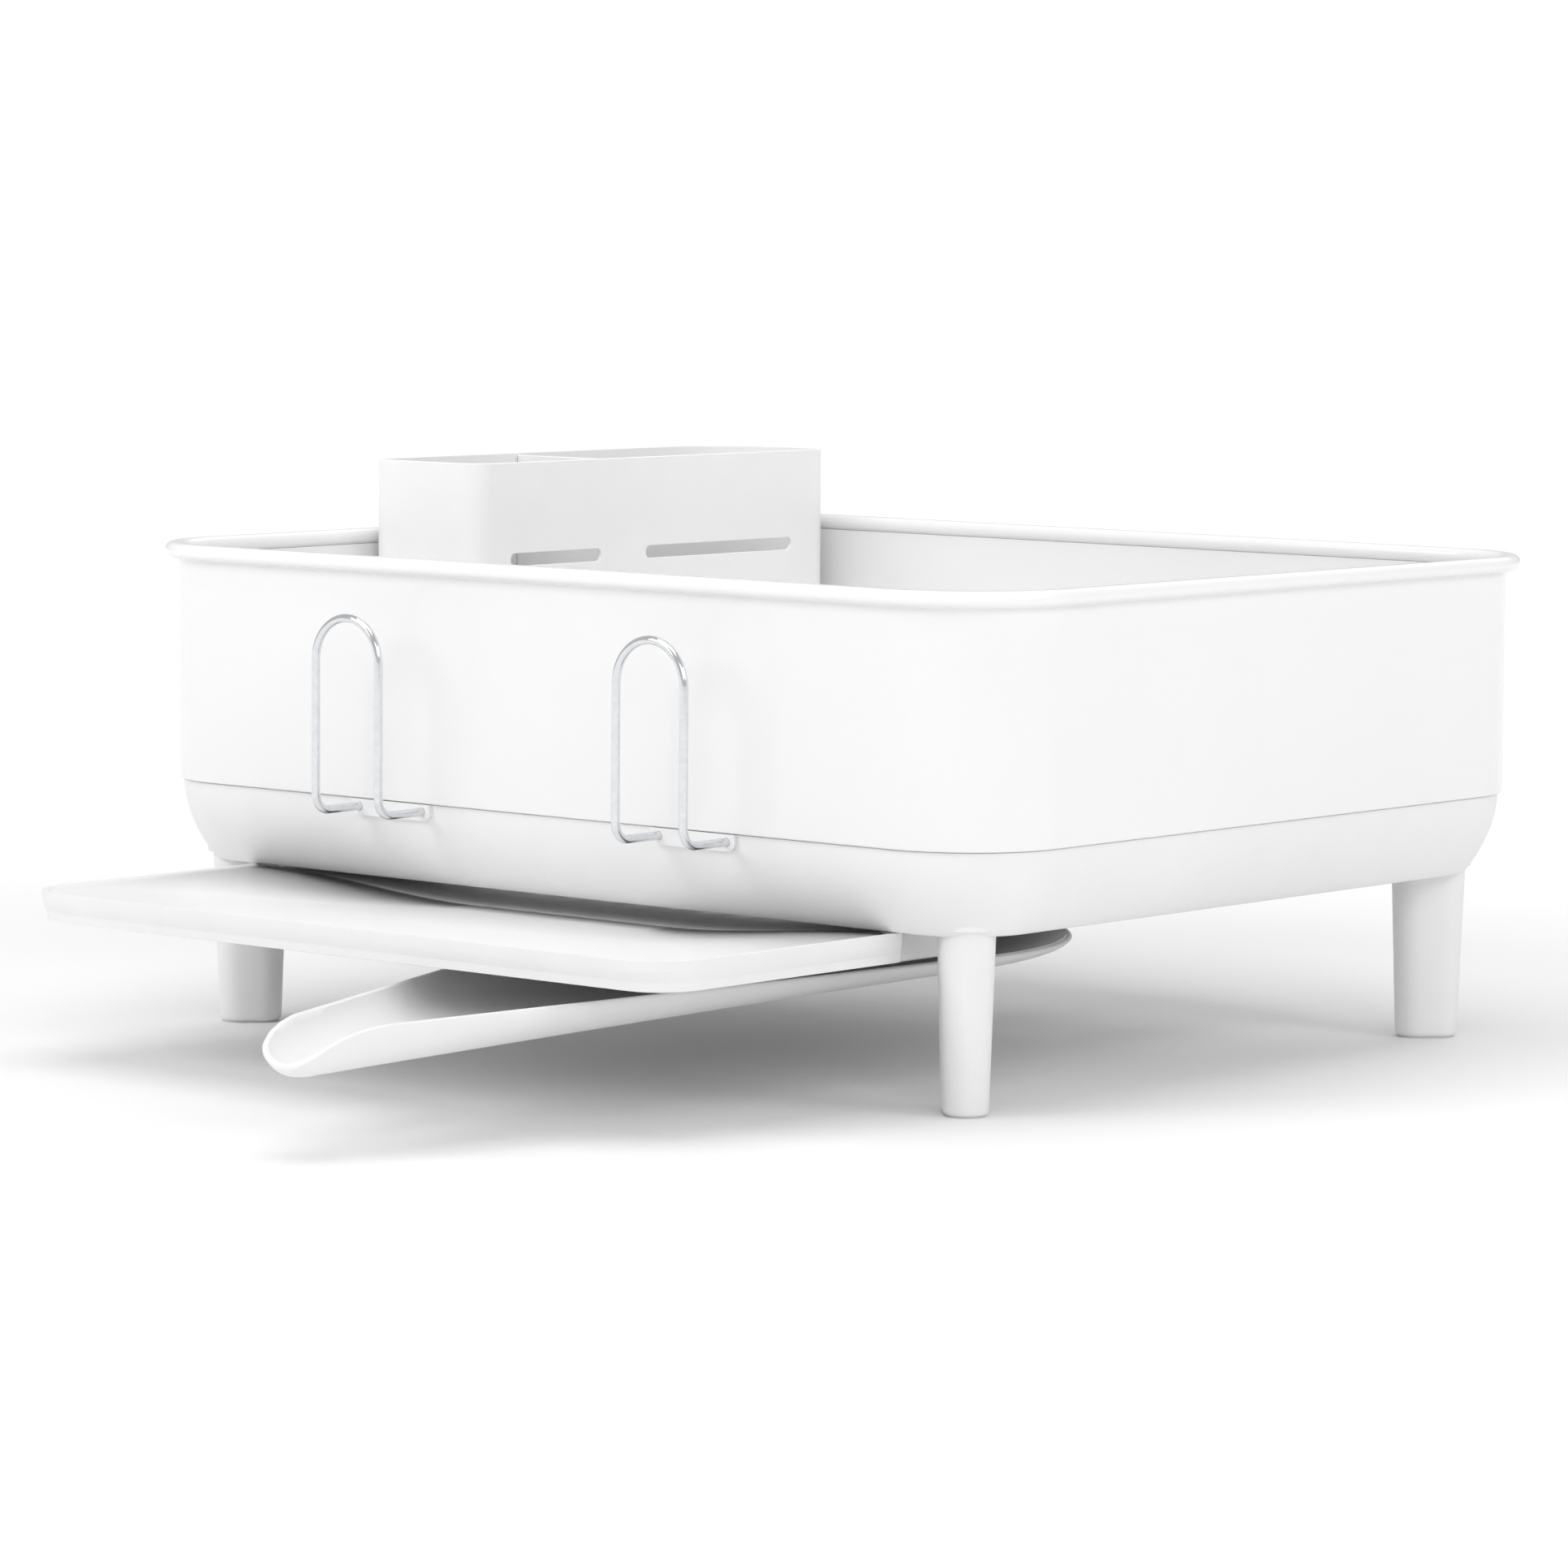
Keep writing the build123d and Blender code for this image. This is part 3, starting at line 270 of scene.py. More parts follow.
for step in range(1, 12):
    share = 1 - (BASE_FLOOR / BASE_HEIGHT + 0.72 * step / 11)
    base_rings.append(wall_ring(base_inset(share) + BASE_THICK, SEAM - share * BASE_HEIGHT))
base_rings += [
    wall_ring(BASE_INSET_TOP + BASE_THICK + 1 * MM, SEAM - BASE_RING_HEIGHT),
    wall_ring(BASE_INSET_TOP + BASE_RING, SEAM - BASE_RING_HEIGHT),
    wall_ring(BASE_INSET_TOP + BASE_RING, SEAM),
]
base_shells = [skin(base_rings, closed=True)]

LEG_NAMES = ("front_left", "front_right", "back_left", "back_right")


def leg_ring(corner, length, width, z, arc=10):
    """A leg's outline at one height: a long round-ended shape along the corner's diagonal."""
    low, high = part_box("leg_" + corner)
    middle = ((low[0] + high[0]) / 2, (low[1] + high[1]) / 2)
    along = math.atan2(middle[1] - WALL_MIDDLE[1], middle[0] - WALL_MIDDLE[0])
    along = math.radians(45 + 90 * math.floor(math.degrees(along) / 90))
    points = []
    for end, start in ((1, -90), (-1, 90)):
        for step in range(arc + 1):
            turn = along + math.radians(start + 180 * step / arc)
            reach = end * (length - width) / 2
            points.append((
                middle[0] + reach * math.cos(along) + width / 2 * math.cos(turn),
                middle[1] + reach * math.sin(along) + width / 2 * math.sin(turn),
                z,
            ))
    return points


LEG_HOUSE_TOP = BASE_FOOT + 11.7 * MM
for corner in LEG_NAMES:
    base_shells.append(skin([
        leg_ring(corner, 39 * MM, 29 * MM, BASE_FOOT + BASE_FLOOR - 0.5 * MM),
        leg_ring(corner, 39 * MM, 29 * MM, LEG_HOUSE_TOP - 1.0 * MM),
        leg_ring(corner, 38.4 * MM, 28.4 * MM, LEG_HOUSE_TOP - 0.3 * MM),
        leg_ring(corner, 37 * MM, 27 * MM, LEG_HOUSE_TOP),
    ]))
caddy_low, caddy_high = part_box("caddy_body")
for share in (0.2, 0.8):
    post = (caddy_high[0] - 14 * MM, caddy_low[1] + share * (caddy_high[1] - caddy_low[1]))
    base_shells.append(skin([
        outline(post, (6 * MM, 6 * MM), 5.99 * MM, BASE_FOOT + BASE_FLOOR - 0.5 * MM, 6),
        outline(post, (6 * MM, 6 * MM), 5.99 * MM, base_high[2] - 0.8 * MM, 6),
        outline(post, (5.2 * MM, 5.2 * MM), 5.19 * MM, base_high[2], 6),
    ]))
base_finish = moulded_plastic("satin_base", (0.86, 0.86, 0.862), 0.38)
base = new_piece("moulded_base", base_shells, base_finish)
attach(base, "rack")
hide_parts("base_tub")

# ---- Legs and foot pads -------------------------------------------------------------------
# Four moulded legs plug into the base's corners and taper to the foot, with a soft pad plugged
# into each foot so that the rack doesn't slide.
LEG_TOP = (34.0, 24.0)
LEG_FOOT = (28.5, 19.5)
FOOT_ROUND = 3.8
leg_finish = moulded_plastic("satin_leg", (0.85, 0.85, 0.852), 0.4)
pad_finish = moulded_plastic("soft_pad", (0.62, 0.62, 0.61), 0.75, 2.0)
for corner in LEG_NAMES:
    rings = []
    for drop, lift in ((3.2, 0.9), (1.7, 1.05), (0.7, 1.6), (0.15, 2.6), (0.0, FOOT_ROUND)):
        length, width = (size - drop for size in LEG_FOOT)
        rings.append(leg_ring(corner, length * MM, width * MM, lift * MM))
    for step in range(1, 13):
        share = step / 12
        z = FOOT_ROUND * MM + (BASE_FOOT + 4 * MM - FOOT_ROUND * MM) * share
        length, width = (foot + (top - foot) * share for foot, top in zip(LEG_FOOT, LEG_TOP))
        rings.append(leg_ring(corner, length * MM, width * MM, z))
    leg = new_piece("moulded_leg_" + corner, [skin(rings)], leg_finish)
    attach(leg, "rack")
    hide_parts("leg_" + corner)
    dress("foot_pad_" + corner, pad_finish)


# ---- Steel wall ---------------------------------------------------------------------------
# A band of 1 mm sheet, bent round, with a flange turned in at its foot and a rolled rim, then
# powder coated a bright gloss.  The coat pools a little and shows a faint orange peel.
def powder_coat(name, tone, roughness):
    """Gloss powder coat: an orange-peel ripple under a clear, slightly uneven gloss."""
    place, shader, material = new_finish(name)
    cloud = place.node("ShaderNodeTexNoise", None, {"Vector": place, "Scale": 7.0, "Detail": 2.0})
    peel = place.node("ShaderNodeTexNoise", None, {"Vector": place, "Scale": 420.0, "Detail": 1.0})
    light = [min(1.0, channel * 1.01) for channel in tone]
    dark = [channel * 0.985 for channel in tone]
    ramp = place.node(
        "ShaderNodeValToRGB", {"stops": ((0.3, (*dark, 1.0)), (0.7, (*light, 1.0)))}, {"Fac": cloud}
    )
    bump = place.node(
        "ShaderNodeBump", None, {"Strength": 0.12, "Distance": 0.00005, "Height": peel}
    )
    rough = roughness + (cloud - 0.5) * 0.05 + (peel - 0.5) * 0.04
    for socket, patch in (("Base Color", ramp), ("Roughness", rough), ("Normal", bump)):
        material.node_tree.links.new(patch.socket, shader.inputs[socket])
    shader.inputs["Coat Weight"].default_value = 0.35
    shader.inputs["Coat Roughness"].default_value = 0.08
    return material


RIM_TOP = rim_high[2]
RIM_HEIGHT = 7.0 * MM
RIM_OUT = 6.5 * MM
RIM_IN = -2.5 * MM
ROLL_RADIUS = 3.3 * MM
steel_profile = [(-12.0, 0.0), (-0.8, 0.0), (-0.23, 0.23), (0.0, 0.8)]
steel_profile = [(out * MM, rim_low[2] + z * MM) for out, z in steel_profile]
rim_foot = RIM_TOP - RIM_HEIGHT
steel_profile += [(0.0, rim_foot - 0.6 * MM), (0.25 * MM, rim_foot)]
for step in range(9):
    turn = math.radians(-90 + 180 * step / 8)
    steel_profile.append((
        RIM_OUT - ROLL_RADIUS + ROLL_RADIUS * math.cos(turn),
        RIM_TOP - RIM_HEIGHT / 2 + RIM_HEIGHT / 2 * math.sin(turn),
    ))
for step in range(7):
    turn = math.radians(90 + 180 * step / 6)
    steel_profile.append((
        RIM_IN + ROLL_RADIUS * 0.7 + ROLL_RADIUS * 0.7 * math.cos(turn),
        RIM_TOP - RIM_HEIGHT / 2 + RIM_HEIGHT / 2 * math.sin(turn),
    ))
steel_profile += [(-1.0 * MM, rim_foot - 0.2 * MM), (-1.0 * MM, rim_low[2] + 1.6 * MM)]
steel_profile += [(-1.3 * MM, rim_low[2] + 1.15 * MM), (-2.0 * MM, rim_low[2] + 1.0 * MM)]
steel_profile += [(-12.0 * MM, rim_low[2] + 1.0 * MM)]
steel_finish = powder_coat("gloss_powder_coat", (0.90, 0.90, 0.902), 0.2)
steel_rings = [wall_ring(-out, z, 32) for out, z in steel_profile]
steel = new_piece("steel_wall", [skin(list(reversed(steel_rings)), closed=True)], steel_finish, 50.0)
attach(steel, "rack")
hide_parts("steel_frame")


# ---- Screws, washer and collars ------------------------------------------------------------
# Small zinc-plated steel screws hold the flange, the legs and the rails; a washer keeps the
# spout's pin up, and collars stop the cup hooks from being pulled out.
def plated_steel(name, tone, roughness):
    """Turned and plated steel: fine lathe lines and a slightly cloudy plating."""
    place, shader, material = new_finish(name)
    cloud = place.node("ShaderNodeTexNoise", None, {"Vector": place, "Scale": 300.0, "Detail": 3.0})
    lines = place.node(
        "ShaderNodeTexWave", {"bands_direction": "Z"},
        {"Vector": place, "Scale": 900.0, "Distortion": 0.6},
    )
    dark = [channel * 0.9 for channel in tone]
    ramp = place.node(
        "ShaderNodeValToRGB", {"stops": ((0.25, (*dark, 1.0)), (0.75, (*tone, 1.0)))}, {"Fac": cloud}
    )
    bump = place.node("ShaderNodeBump", None, {"Strength": 0.1, "Distance": 0.00003, "Height": lines})
    rough = roughness + (cloud - 0.5) * 0.12
    for socket, patch in (("Base Color", ramp), ("Roughness", rough), ("Normal", bump)):
        material.node_tree.links.new(patch.socket, shader.inputs[socket])
    shader.inputs["Metallic"].default_value = 1.0
    return material


screw_finish = plated_steel("plated_screws", (0.62, 0.62, 0.64), 0.35)
for node in (
    "frame_screws", "leg_screws", "rail_screws", "pivot_washer", "pivot_screw",
    "hook_stops_left", "hook_stops_right",
):
    dress(node, screw_finish)

# ---- Cup hooks ----------------------------------------------------------------------------
# Each hook is one length of polished chrome-plated wire, bent to an upright loop whose two legs
# turn back and slide through a flush moulded guide at the seam.
wire_finish = plated_steel("polished_chrome_wire", (0.80, 0.81, 0.83), 0.08)
guide_finish = moulded_plastic("satin_guide", (0.86, 0.86, 0.862), 0.36)
WIRE = 3.8 * MM
WIRE_BEND = 7.5 * MM


def wire_tree(finish):
    """A node tree that sweeps a round wire along edges, and its radius input's identifier."""
    tree = bpy.data.node_groups.new("bent_wire", "GeometryNodeTree")
    tree.interface.new_socket("Route", in_out="INPUT", socket_type="NodeSocketGeometry")
    radius = tree.interface.new_socket("Radius", in_out="INPUT", socket_type="NodeSocketFloat")
    tree.interface.new_socket("Wire", in_out="OUTPUT", socket_type="NodeSocketGeometry")
    given = tree.nodes.new("NodeGroupInput")
    curve = tree.nodes.new("GeometryNodeMeshToCurve")
    section = tree.nodes.new("GeometryNodeCurvePrimitiveCircle")
    section.inputs["Resolution"].default_value = 24
    sweep = tree.nodes.new("GeometryNodeCurveToMesh")
    sweep.inputs["Fill Caps"].default_value = True
    real = tree.nodes.new("GeometryNodeRealizeInstances")
    painted = tree.nodes.new("GeometryNodeSetMaterial")
    painted.inputs["Material"].default_value = finish
    result = tree.nodes.new("NodeGroupOutput")
    for start, end in (
        (given.outputs["Route"], curve.inputs["Mesh"]),
        (given.outputs["Radius"], section.inputs["Radius"]),
        (curve.outputs["Curve"], sweep.inputs["Curve"]),
        (section.outputs["Curve"], sweep.inputs["Profile Curve"]),
        (sweep.outputs["Mesh"], real.inputs["Geometry"]),
        (real.outputs["Geometry"], painted.inputs["Geometry"]),
        (painted.outputs["Geometry"], result.inputs["Wire"]),
    ):
        tree.links.new(start, end)
    return tree, radius.identifier


def hook_route(low, high):
    """The wire's middle line, from one inner end over the arch to the other."""
    middle_x = (low[0] + high[0]) / 2
    half = (high[0] - low[0] - WIRE) / 2
    loop_y = low[1] + WIRE / 2
    leg_z = low[2] + WIRE / 2
    arch_z = high[2] - WIRE / 2 - half
    bend = [
        (loop_y + WIRE_BEND * (1 - math.sin(turn)), leg_z + WIRE_BEND * (1 - math.cos(turn)))
        for turn in np.linspace(0, math.pi / 2, 9)
    ]
    rising = [(middle_x - half, high[1], leg_z)] + [(middle_x - half, y, z) for y, z in bend]
    falling = [(2 * middle_x - x, y, z) for x, y, z in reversed(rising)]
    arch = [
        (middle_x - half * math.cos(turn), loop_y, arch_z + half * math.sin(turn))
        for turn in np.linspace(0, math.pi, 25)
    ]
    return rising + arch + falling


tree, radius_input = wire_tree(wire_finish)
for side in ("left", "right"):
    route = hook_route(*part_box("cup_hook_" + side))
    line = bpy.data.meshes.new("hook_route_" + side)
    line.from_pydata(route, [(step, step + 1) for step in range(len(route) - 1)], [])
    carrier = bpy.data.objects.new("hook_route_" + side, line)
    bpy.context.scene.collection.objects.link(carrier)
    modifier = carrier.modifiers.new("bent_wire", "NODES")
    modifier.node_group = tree
    modifier[radius_input] = WIRE / 2
    swept = bpy.data.meshes.new_from_object(
        carrier.evaluated_get(bpy.context.evaluated_depsgraph_get())
    )
    carrier.modifiers.remove(modifier)
    bpy.data.objects.remove(carrier)
    swept.shade_smooth()
    swept.set_sharp_from_angle(angle=math.radians(60))
    wire = bpy.data.objects.new("chrome_wire_hook_" + side, swept)
    bpy.context.scene.collection.objects.link(wire)
    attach(wire, "hook_" + side)
    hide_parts("cup_hook_" + side)
    dress("hook_guide_" + side, guide_finish)

# ---- Drip tray and rails ------------------------------------------------------------------
# The tray is one moulded pan.  Its wide head shows in front of the rack, and its tail hangs by
# its flanges on two angle rails screwed up to the base.  A bush in its sump carries the spout.
def eased(name, node, width, material, shaping=None, lining=None, segments=2, flat=32.0):
    """A copy of a node's mesh with its loose triangles merged and its sharp edges rounded.

    shaping changes the merged copy before its edges are rounded, and lining adds a shell after."""
    work = bmesh.new()
    work.from_mesh(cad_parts[node].data)
    bmesh.ops.remove_doubles(work, verts=work.verts, dist=1e-6)
    bmesh.ops.dissolve_limit(work, angle_limit=math.radians(0.6), verts=work.verts, edges=work.edges)
    if shaping:
        shaping(work)
    edges = [edge for edge in work.edges if edge.calc_face_angle(0.0) > math.radians(flat)]
    bmesh.ops.bevel(
        work, geom=edges, offset=width, segments=segments, profile=0.5, affect="EDGES",
        clamp_overlap=False,
    )
    bmesh.ops.remove_doubles(work, verts=work.verts, dist=1e-6)
    if lining:
        extra = bpy.data.meshes.new("lining")
        lining(extra)
        work.from_mesh(extra)
        bpy.data.meshes.remove(extra)
    mesh = bpy.data.meshes.new(name)
    work.to_mesh(mesh)
    work.free()
    mesh.polygons.foreach_set("use_smooth", [True] * len(mesh.polygons))
    mesh.set_sharp_from_angle(angle=math.radians(44))
    mesh.materials.clear()
    mesh.materials.append(material)
    piece = bpy.data.objects.new(name, mesh)
    bpy.context.scene.collection.objects.link(piece)
    level = piece.modifiers.new("even_shading", "WEIGHTED_NORMAL")
    level.keep_sharp = True
    finished = bpy.data.meshes.new_from_object(
        piece.evaluated_get(bpy.context.evaluated_depsgraph_get())
    )
    piece.modifiers.clear()
    piece.data = finished
    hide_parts(node)
    return piece


tray_low, tray_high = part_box("drip_tray")
TRAY_HALF = tray_high[0]
TRAY_TOP = tray_high[2]
TRAY_HEIGHT = 14.0 * MM
TRAY_LEAN = 7.0 * MM
TRAY_ROUND = 9.0 * MM
TRAY_CORNER = 26.0 * MM
TRAY_STEP = tray_low[1] + 150.0 * MM
TRAY_WALL = 2.2 * MM
NECK_HALF = TRAY_HALF - 12.6 * MM
DISH_WIDTH = 132.0 * MM
DISH_DEPTH = 8.0 * MM
DISH_LENGTH = 500.0 * MM


def inside_tray_edge(x, y):
    """How far a point lies inside the head's top outline, and the way out."""
    across = abs(x) - (TRAY_HALF - TRAY_CORNER)
    along = tray_low[1] + TRAY_CORNER - y
    side = math.copysign(1.0, x)
    if across > 0 and along > 0:
        reach = math.hypot(across, along)
        return TRAY_CORNER - reach, (side * across / reach, -along / reach)
    if across > along:
        return TRAY_HALF - abs(x), (side, 0.0)
    return y - tray_low[1], (0.0, -1.0)


def round_tray_wall(work):
    """Turns the head's leaning outer wall into one that curves under, like a boat's side."""
    for share in (0.3, 0.5, 0.65, 0.78, 0.87, 0.94, 0.98):
        bmesh.ops.bisect_plane(
            work, geom=work.verts[:] + work.edges[:] + work.faces[:], dist=1e-7,
            plane_co=(0, 0, TRAY_TOP - share * TRAY_HEIGHT), plane_no=(0, 0, 1),
        )
    for vertex in work.verts:
        x, y, z = vertex.co
        share = min(1.0, (TRAY_TOP - z) / TRAY_HEIGHT)
        depth, (out_x, out_y) = inside_tray_edge(x, y)
        if y > TRAY_STEP + 0.1 * MM or share < 0.01 or abs(depth - TRAY_LEAN * share) > 0.2 * MM:
            continue
        move = depth - TRAY_ROUND * (1 - math.sqrt(1 - share * share))
        vertex.co = (x + move * out_x, y + move * out_y, z)


def keep_below(work, point, normal):
    """Cuts away what lies beyond a plane and closes the cut."""
    cut = bmesh.ops.bisect_plane(
        work, geom=work.verts[:] + work.edges[:] + work.faces[:], dist=1e-7,
        plane_co=point, plane_no=normal, clear_outer=True,
    )
    rim = [part for part in cut["geom_cut"] if isinstance(part, bmesh.types.BMEdge)]
    bmesh.ops.contextual_create(work, geom=rim)


def dish_lining(mesh):
    """The pan's inside, which dishes gently from its rim to the floor on three sides."""
    middle = ((tray_low[0] + tray_high[0]) / 2, tray_low[1] + DISH_LENGTH)
    floor_z = TRAY_TOP - TRAY_HEIGHT + TRAY_WALL
    brim_z = TRAY_TOP - 0.8 * MM
    rings = [(2.6 * MM, floor_z - 1.0 * MM), (1.3 * MM, brim_z - 0.4 * MM)]
    for step in range(1, 29):
        share = step / 28
        fall = DISH_DEPTH * share * share * (3 - 2 * share)
        rings.append((1.6 * MM + DISH_WIDTH * share, brim_z - fall))
    outlines = []
    for inset, z in rings:
        radius = max(TRAY_CORNER - inset, 1.0 * MM + 0.165 * (DISH_WIDTH - inset))
        outlines.append(outline(middle, (TRAY_HALF - inset, DISH_LENGTH - inset), radius, z, 10))
    vertices, faces = skin(outlines)
    head = (((0, TRAY_STEP, 0), (0, 1, 0)),)
    neck = (
        ((0, TRAY_STEP, 0), (0, -1, 0)), ((0, TRAY_STEP + 59 * MM, 0), (0, 1, 0)),
        ((NECK_HALF, 0, 0), (1, 0, 0)), ((-NECK_HALF, 0, 0), (-1, 0, 0)),
    )
    both = bmesh.new()
    for planes in (head, neck):
        work = bmesh.new()
        made = [work.verts.new(vertex) for vertex in vertices]
        for face in faces:
            work.faces.new([made[corner] for corner in face])
        for point, normal in planes:
            keep_below(work, point, normal)
        work.to_mesh(mesh)
        work.free()
        both.from_mesh(mesh)
    both.to_mesh(mesh)
    both.free()


tray_finish = moulded_plastic("satin_tray", (0.84, 0.84, 0.842), 0.42)
rail_finish = moulded_plastic("rail_nylon", (0.78, 0.78, 0.78), 0.5)
bush_finish = moulded_plastic("bush_acetal", (0.72, 0.72, 0.71), 0.45)
pan = eased("drip_pan", "drip_tray", 0.45 * MM, tray_finish, round_tray_wall, dish_lining)
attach(pan, "tray")
for side in ("left", "right"):
    rail = eased("slide_rail_" + side, "tray_rail_" + side, 0.3 * MM, rail_finish)
    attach(rail, "rack")
dress("pivot_bush", bush_finish)

# ---- Spout --------------------------------------------------------------------------------
# A shallow open trough, moulded in one piece, that turns on a pin under the tray and falls to
# a scooped lip over the sink.  Its section is a smooth curve and its rim is rounded over.
bush_low, bush_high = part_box("pivot_bush")
PIVOT = ((bush_low[0] + bush_high[0]) / 2, (bush_low[1] + bush_high[1]) / 2)
SPOUT_TURN = math.radians(-84.2)
SPOUT_REACH = 364.6 * MM
BOWL_RADIUS = 109.0 * MM
LIP_RADIUS = 18.5 * MM
BOWL_RIM = 55.5 * MM
LIP_RIM = 52.6 * MM
BOWL_FLOOR = 47.2 * MM
LIP_FLOOR = 34.0 * MM
SPOUT_WALL = 2.2 * MM
SPOUT_ROUND = 42.0 * MM
LIP_ROUND = 14.0 * MM
SCOOP_EDGE = LIP_FLOOR + 1.2 * MM
SCOOP = (
    (0.0, 0.9), (6.0, 5.4), (12.0, 9.6), (20.0, 13.6), (30.0, 16.2), (45.0, 18.0), (62.0, 19.4),
)
SCOOP_LENGTH = SCOOP[-1][0] * MM


def trough_outline(bowl_radius, lip_radius):
    """The spout's plan along its own axis: round lip, straight side, round bowl, straight side."""
    lean = math.asin((bowl_radius - lip_radius) / SPOUT_REACH)
    half_turn = math.pi / 2 - lean
    points = []
    for step in range(21):
        turn = -half_turn + 2 * half_turn * step / 20
        points.append((SPOUT_REACH + lip_radius * math.cos(turn), lip_radius * math.sin(turn)))
    bowl = []
    for step in range(49):
        turn = half_turn + (2 * math.pi - 2 * half_turn) * step / 48
        bowl.append((bowl_radius * math.cos(turn), bowl_radius * math.sin(turn)))
    side = []
    for step in range(1, 36):
        share = (step / 36) ** 1.4
        side.append(tuple(a + (b - a) * share for a, b in zip(points[-1], bowl[0])))
    mirrored = [(x, -y) for x, y in reversed(side)]
    return points + side + bowl + mirrored


def trough_rings(bowl_radius, lip_radius, round_in, lift, shares):
    """Rings of the trough's surface, from the rim (share 0) down to the floor (share 1).

    Near the tip the rim is scooped down along the section's own curve."""
    rim = trough_outline(bowl_radius, lip_radius)
    floor = trough_outline(bowl_radius - round_in[0], lip_radius - round_in[1])
    tip = SPOUT_REACH + LIP_RADIUS
    rings = []
    for share in shares:
        ring = []
        for (rim_x, rim_y), (floor_x, floor_y) in zip(rim, floor):
            along = rim_x / SPOUT_REACH
            rim_z = BOWL_RIM + (LIP_RIM - BOWL_RIM) * along
            floor_z = BOWL_FLOOR + (LIP_FLOOR - BOWL_FLOOR) * along
            drop = 0.0
            if tip - rim_x < SCOOP_LENGTH:
                rise = np.interp((tip - rim_x) / MM, [a for a, _ in SCOOP], [b for _, b in SCOOP])
                drop = max(0.0, rim_z - (SCOOP_EDGE + rise * MM))
            first = math.asin(min(0.985, drop / (rim_z - floor_z)))
            turn = first + (math.pi / 2 - first) * share
            inward = 1 - math.cos(turn)
            x = rim_x + (floor_x - rim_x) * inward
            y = rim_y + (floor_y - rim_y) * inward
            z = rim_z + lift - (rim_z - floor_z) * math.sin(turn)
            ring.append((
                PIVOT[0] + x * math.cos(SPOUT_TURN) - y * math.sin(SPOUT_TURN),
                PIVOT[1] + x * math.sin(SPOUT_TURN) + y * math.cos(SPOUT_TURN),
                z,
            ))
        rings.append(ring)
    return rings


def halfway(first, second, rise):
    """A ring between two others, raised, for a rounded rim."""
    return [
        ((a[0] + b[0]) / 2, (a[1] + b[1]) / 2, (a[2] + b[2]) / 2 + rise) for a, b in zip(first, second)
    ]


shares = [step / 12 for step in range(13)]
outer = trough_rings(BOWL_RADIUS, LIP_RADIUS, (SPOUT_ROUND, LIP_ROUND), 0.0, shares)
inner = trough_rings(
    BOWL_RADIUS - SPOUT_WALL, LIP_RADIUS - SPOUT_WALL,
    (SPOUT_ROUND, LIP_ROUND - 1.4 * MM), SPOUT_WALL, shares,
)
inner[0] = [(x, y, z - SPOUT_WALL) for x, y, z in inner[0]]
inner = inner[:1] + [halfway(inner[0], inner[1], 0.0)] + inner[1:]
crest = halfway(outer[0], inner[0], 0.75 * MM)
near_outer = halfway(outer[0], crest, 0.28 * MM)
near_inner = halfway(crest, inner[0], 0.28 * MM)
spout_shells = [skin(outer[::-1] + [near_outer, crest, near_inner] + inner)]


def round_post(radius, low, high, ease):
    """An upright round post on the pivot, with a small rounding at its top."""
    sizes = (
        (radius, low), (radius, high - ease),
        (radius - 0.3 * ease, high - 0.3 * ease), (radius - ease, high),
    )
    return skin([outline(PIVOT, (r, r), r * 0.9999, z, 8) for r, z in sizes])


post_top = bush_low[2] - 0.3 * MM
pin_top = bush_high[2] + 0.3 * MM
spout_shells.append(round_post(8.0 * MM, BOWL_FLOOR + 0.8 * MM, post_top, 0.4 * MM))
spout_shells.append(round_post(4.0 * MM, post_top - 0.3 * MM, pin_top, 0.3 * MM))
spout_finish = moulded_plastic("satin_spout", (0.84, 0.84, 0.842), 0.40)
trough = new_piece("swivel_trough", spout_shells, spout_finish, 60.0)
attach(trough, "spout")
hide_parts("spout")

# ---- Cutlery caddy ------------------------------------------------------------------------
# A deep moulded box that stands on the wall's flange and two posts, with a loose divider, two
# air slots in its inner side and drain slots in its floor.
# The caddy is the same white plastic as the base, but its tone is painted lighter here: painted light
# that brightens the whole caddy.
caddy_painted_light_finish = moulded_plastic("satin_caddy_painted_light", (0.92, 0.92, 0.92), 0.4)
box = eased("cutlery_box", "caddy_body", 0.5 * MM, caddy_painted_light_finish, segments=3)
divider = eased("cutlery_divider", "caddy_divider", 0.5 * MM, caddy_painted_light_finish)
for piece in (box, divider):
    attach(piece, "caddy")

# ---- Grate and plate ribs -----------------------------------------------------------------
# A flat slotted panel that lies on the base's floor, and a comb of round-topped ribs between
# which plates stand on edge.
grate_finish = moulded_plastic("satin_grate", (0.83, 0.83, 0.832), 0.45)
rib_finish = moulded_plastic("satin_ribs", (0.83, 0.83, 0.832), 0.4)
panel = eased("drain_panel", "drain_grate", 0.35 * MM, grate_finish)
comb = eased("rib_comb", "plate_ribs", 0.6 * MM, rib_finish)
for piece, slot_name in ((panel, "grate_plastic"), (comb, "rib_plastic")):
    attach(piece, "grate")

# ---- Worktop and light --------------------------------------------------------------------
# A plain pale floor that fades to white away from the rack, a soft even sky, and five large
# soft boxes: overhead, front left, front right, right and back.
floor_mesh = bpy.data.meshes.new("floor")
FLOOR_REACH = 30.0
FADE_START = 0.45
FADE_END = 1.0
floor_mesh.from_pydata(
    [(x * FLOOR_REACH, y * FLOOR_REACH, 0) for x, y in ((-1, -1), (1, -1), (1, 1), (-1, 1))],
    [], [(0, 1, 2, 3)],
)
floor = bpy.data.objects.new("floor", floor_mesh)
bpy.context.scene.collection.objects.link(floor)
place, shader, floor_finish = new_finish("pale_floor")
dust = place.node("ShaderNodeTexNoise", None, {"Vector": place, "Scale": 3.0, "Detail": 2.0})
floor_tone = place.node(
    "ShaderNodeValToRGB",
    {"stops": ((0.3, (0.88, 0.88, 0.88, 1.0)), (0.7, (0.90, 0.90, 0.90, 1.0)))},
    {"Fac": dust},
)
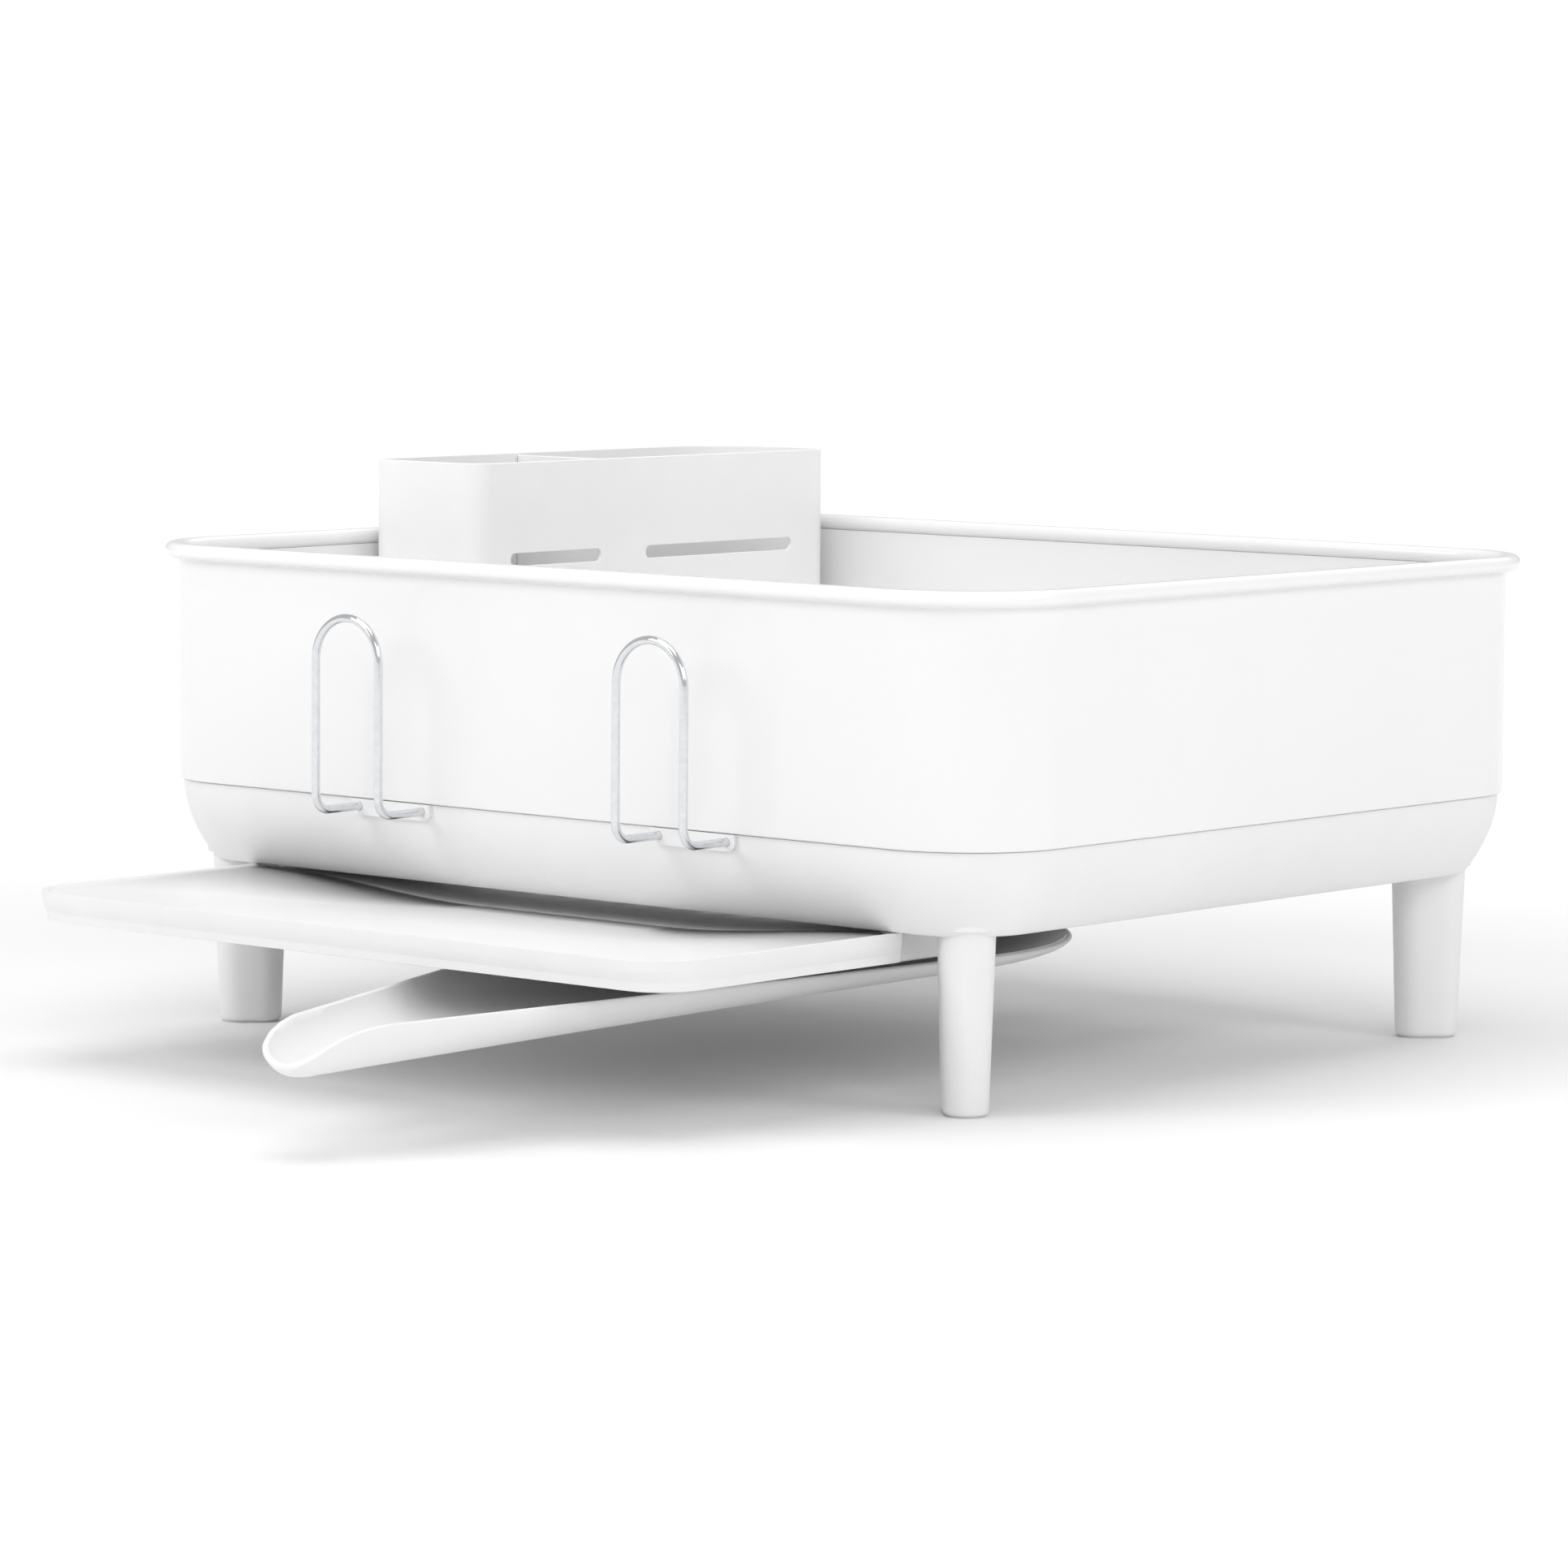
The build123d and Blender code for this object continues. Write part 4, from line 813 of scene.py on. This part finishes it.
floor_finish.node_tree.links.new(floor_tone.socket, shader.inputs["Base Color"])
shader.inputs["Roughness"].default_value = 0.9
shader.inputs["Specular IOR Level"].default_value = 0.0
away = place.node("ShaderNodeVectorMath", {"operation": "LENGTH"}, {0: place}, "Value")
fade = place.node(
    "ShaderNodeMapRange", {"interpolation_type": "SMOOTHSTEP"},
    {"Value": away, "From Min": FADE_START, "From Max": FADE_END}, "Result",
)
glow = place.node("ShaderNodeEmission", None, {"Color": (1.0, 1.0, 1.0, 1.0), "Strength": 1.05})
surface = Patch(floor_finish.node_tree, shader.outputs[0])
surface = place.node("ShaderNodeMixShader", None, {0: fade, 1: surface, 2: glow})
floor_finish.node_tree.links.new(
    surface.socket, floor_finish.node_tree.nodes["Material Output"].inputs["Surface"]
)
floor_mesh.materials.append(floor_finish)

world = bpy.data.worlds.new("sky")
bpy.context.scene.world = world
world.use_nodes = True
sky_tree = world.node_tree
sky = sky_tree.nodes["Background"]
sky.inputs["Color"].default_value = (1.0, 1.0, 1.0, 1.0)
sky.inputs["Strength"].default_value = 0.58
backdrop = sky_tree.nodes.new("ShaderNodeBackground")
backdrop.inputs["Color"].default_value = (1.0, 1.0, 1.0, 1.0)
backdrop.inputs["Strength"].default_value = 1.05
path = sky_tree.nodes.new("ShaderNodeLightPath")
choice = sky_tree.nodes.new("ShaderNodeMixShader")
sky_tree.links.new(path.outputs["Is Camera Ray"], choice.inputs[0])
sky_tree.links.new(sky.outputs[0], choice.inputs[1])
sky_tree.links.new(backdrop.outputs[0], choice.inputs[2])
sky_tree.links.new(choice.outputs[0], sky_tree.nodes["World Output"].inputs["Surface"])
bpy.context.scene.view_settings.view_transform = "Standard"


def soft_box(name, azimuth, elevation, distance, size, power):
    """A large square light that faces the rack."""
    data = bpy.data.lights.new(name, "AREA")
    data.shape = "SQUARE"
    data.size = size
    data.energy = power
    light = bpy.data.objects.new(name, data)
    bpy.context.scene.collection.objects.link(light)
    a = math.radians(azimuth)
    e = math.radians(elevation)
    away = np.array([math.sin(a) * math.cos(e), -math.cos(a) * math.cos(e), math.sin(e)])
    side = np.array([math.cos(a), math.sin(a), 0.0])
    stand = np.eye(4)
    stand[:3, 0] = side
    stand[:3, 1] = np.cross(away, side)
    stand[:3, 2] = away
    stand[:3, 3] = np.array([*WALL_MIDDLE, 0.12]) + away * distance
    light.matrix_world = Matrix(stand.tolist())


soft_box("overhead_box", 10.0, 80.0, 2.2, 1.8, 17.6)
soft_box("front_left_box", -25.0, 30.0, 2.6, 1.2, 16.5)
soft_box("front_right_box", 50.0, 25.0, 3.4, 1.4, 16.0)
soft_box("right_box", 95.0, 25.0, 2.8, 1.0, 9.5)
soft_box("back_box", 190.0, 40.0, 2.6, 1.6, 7.0)
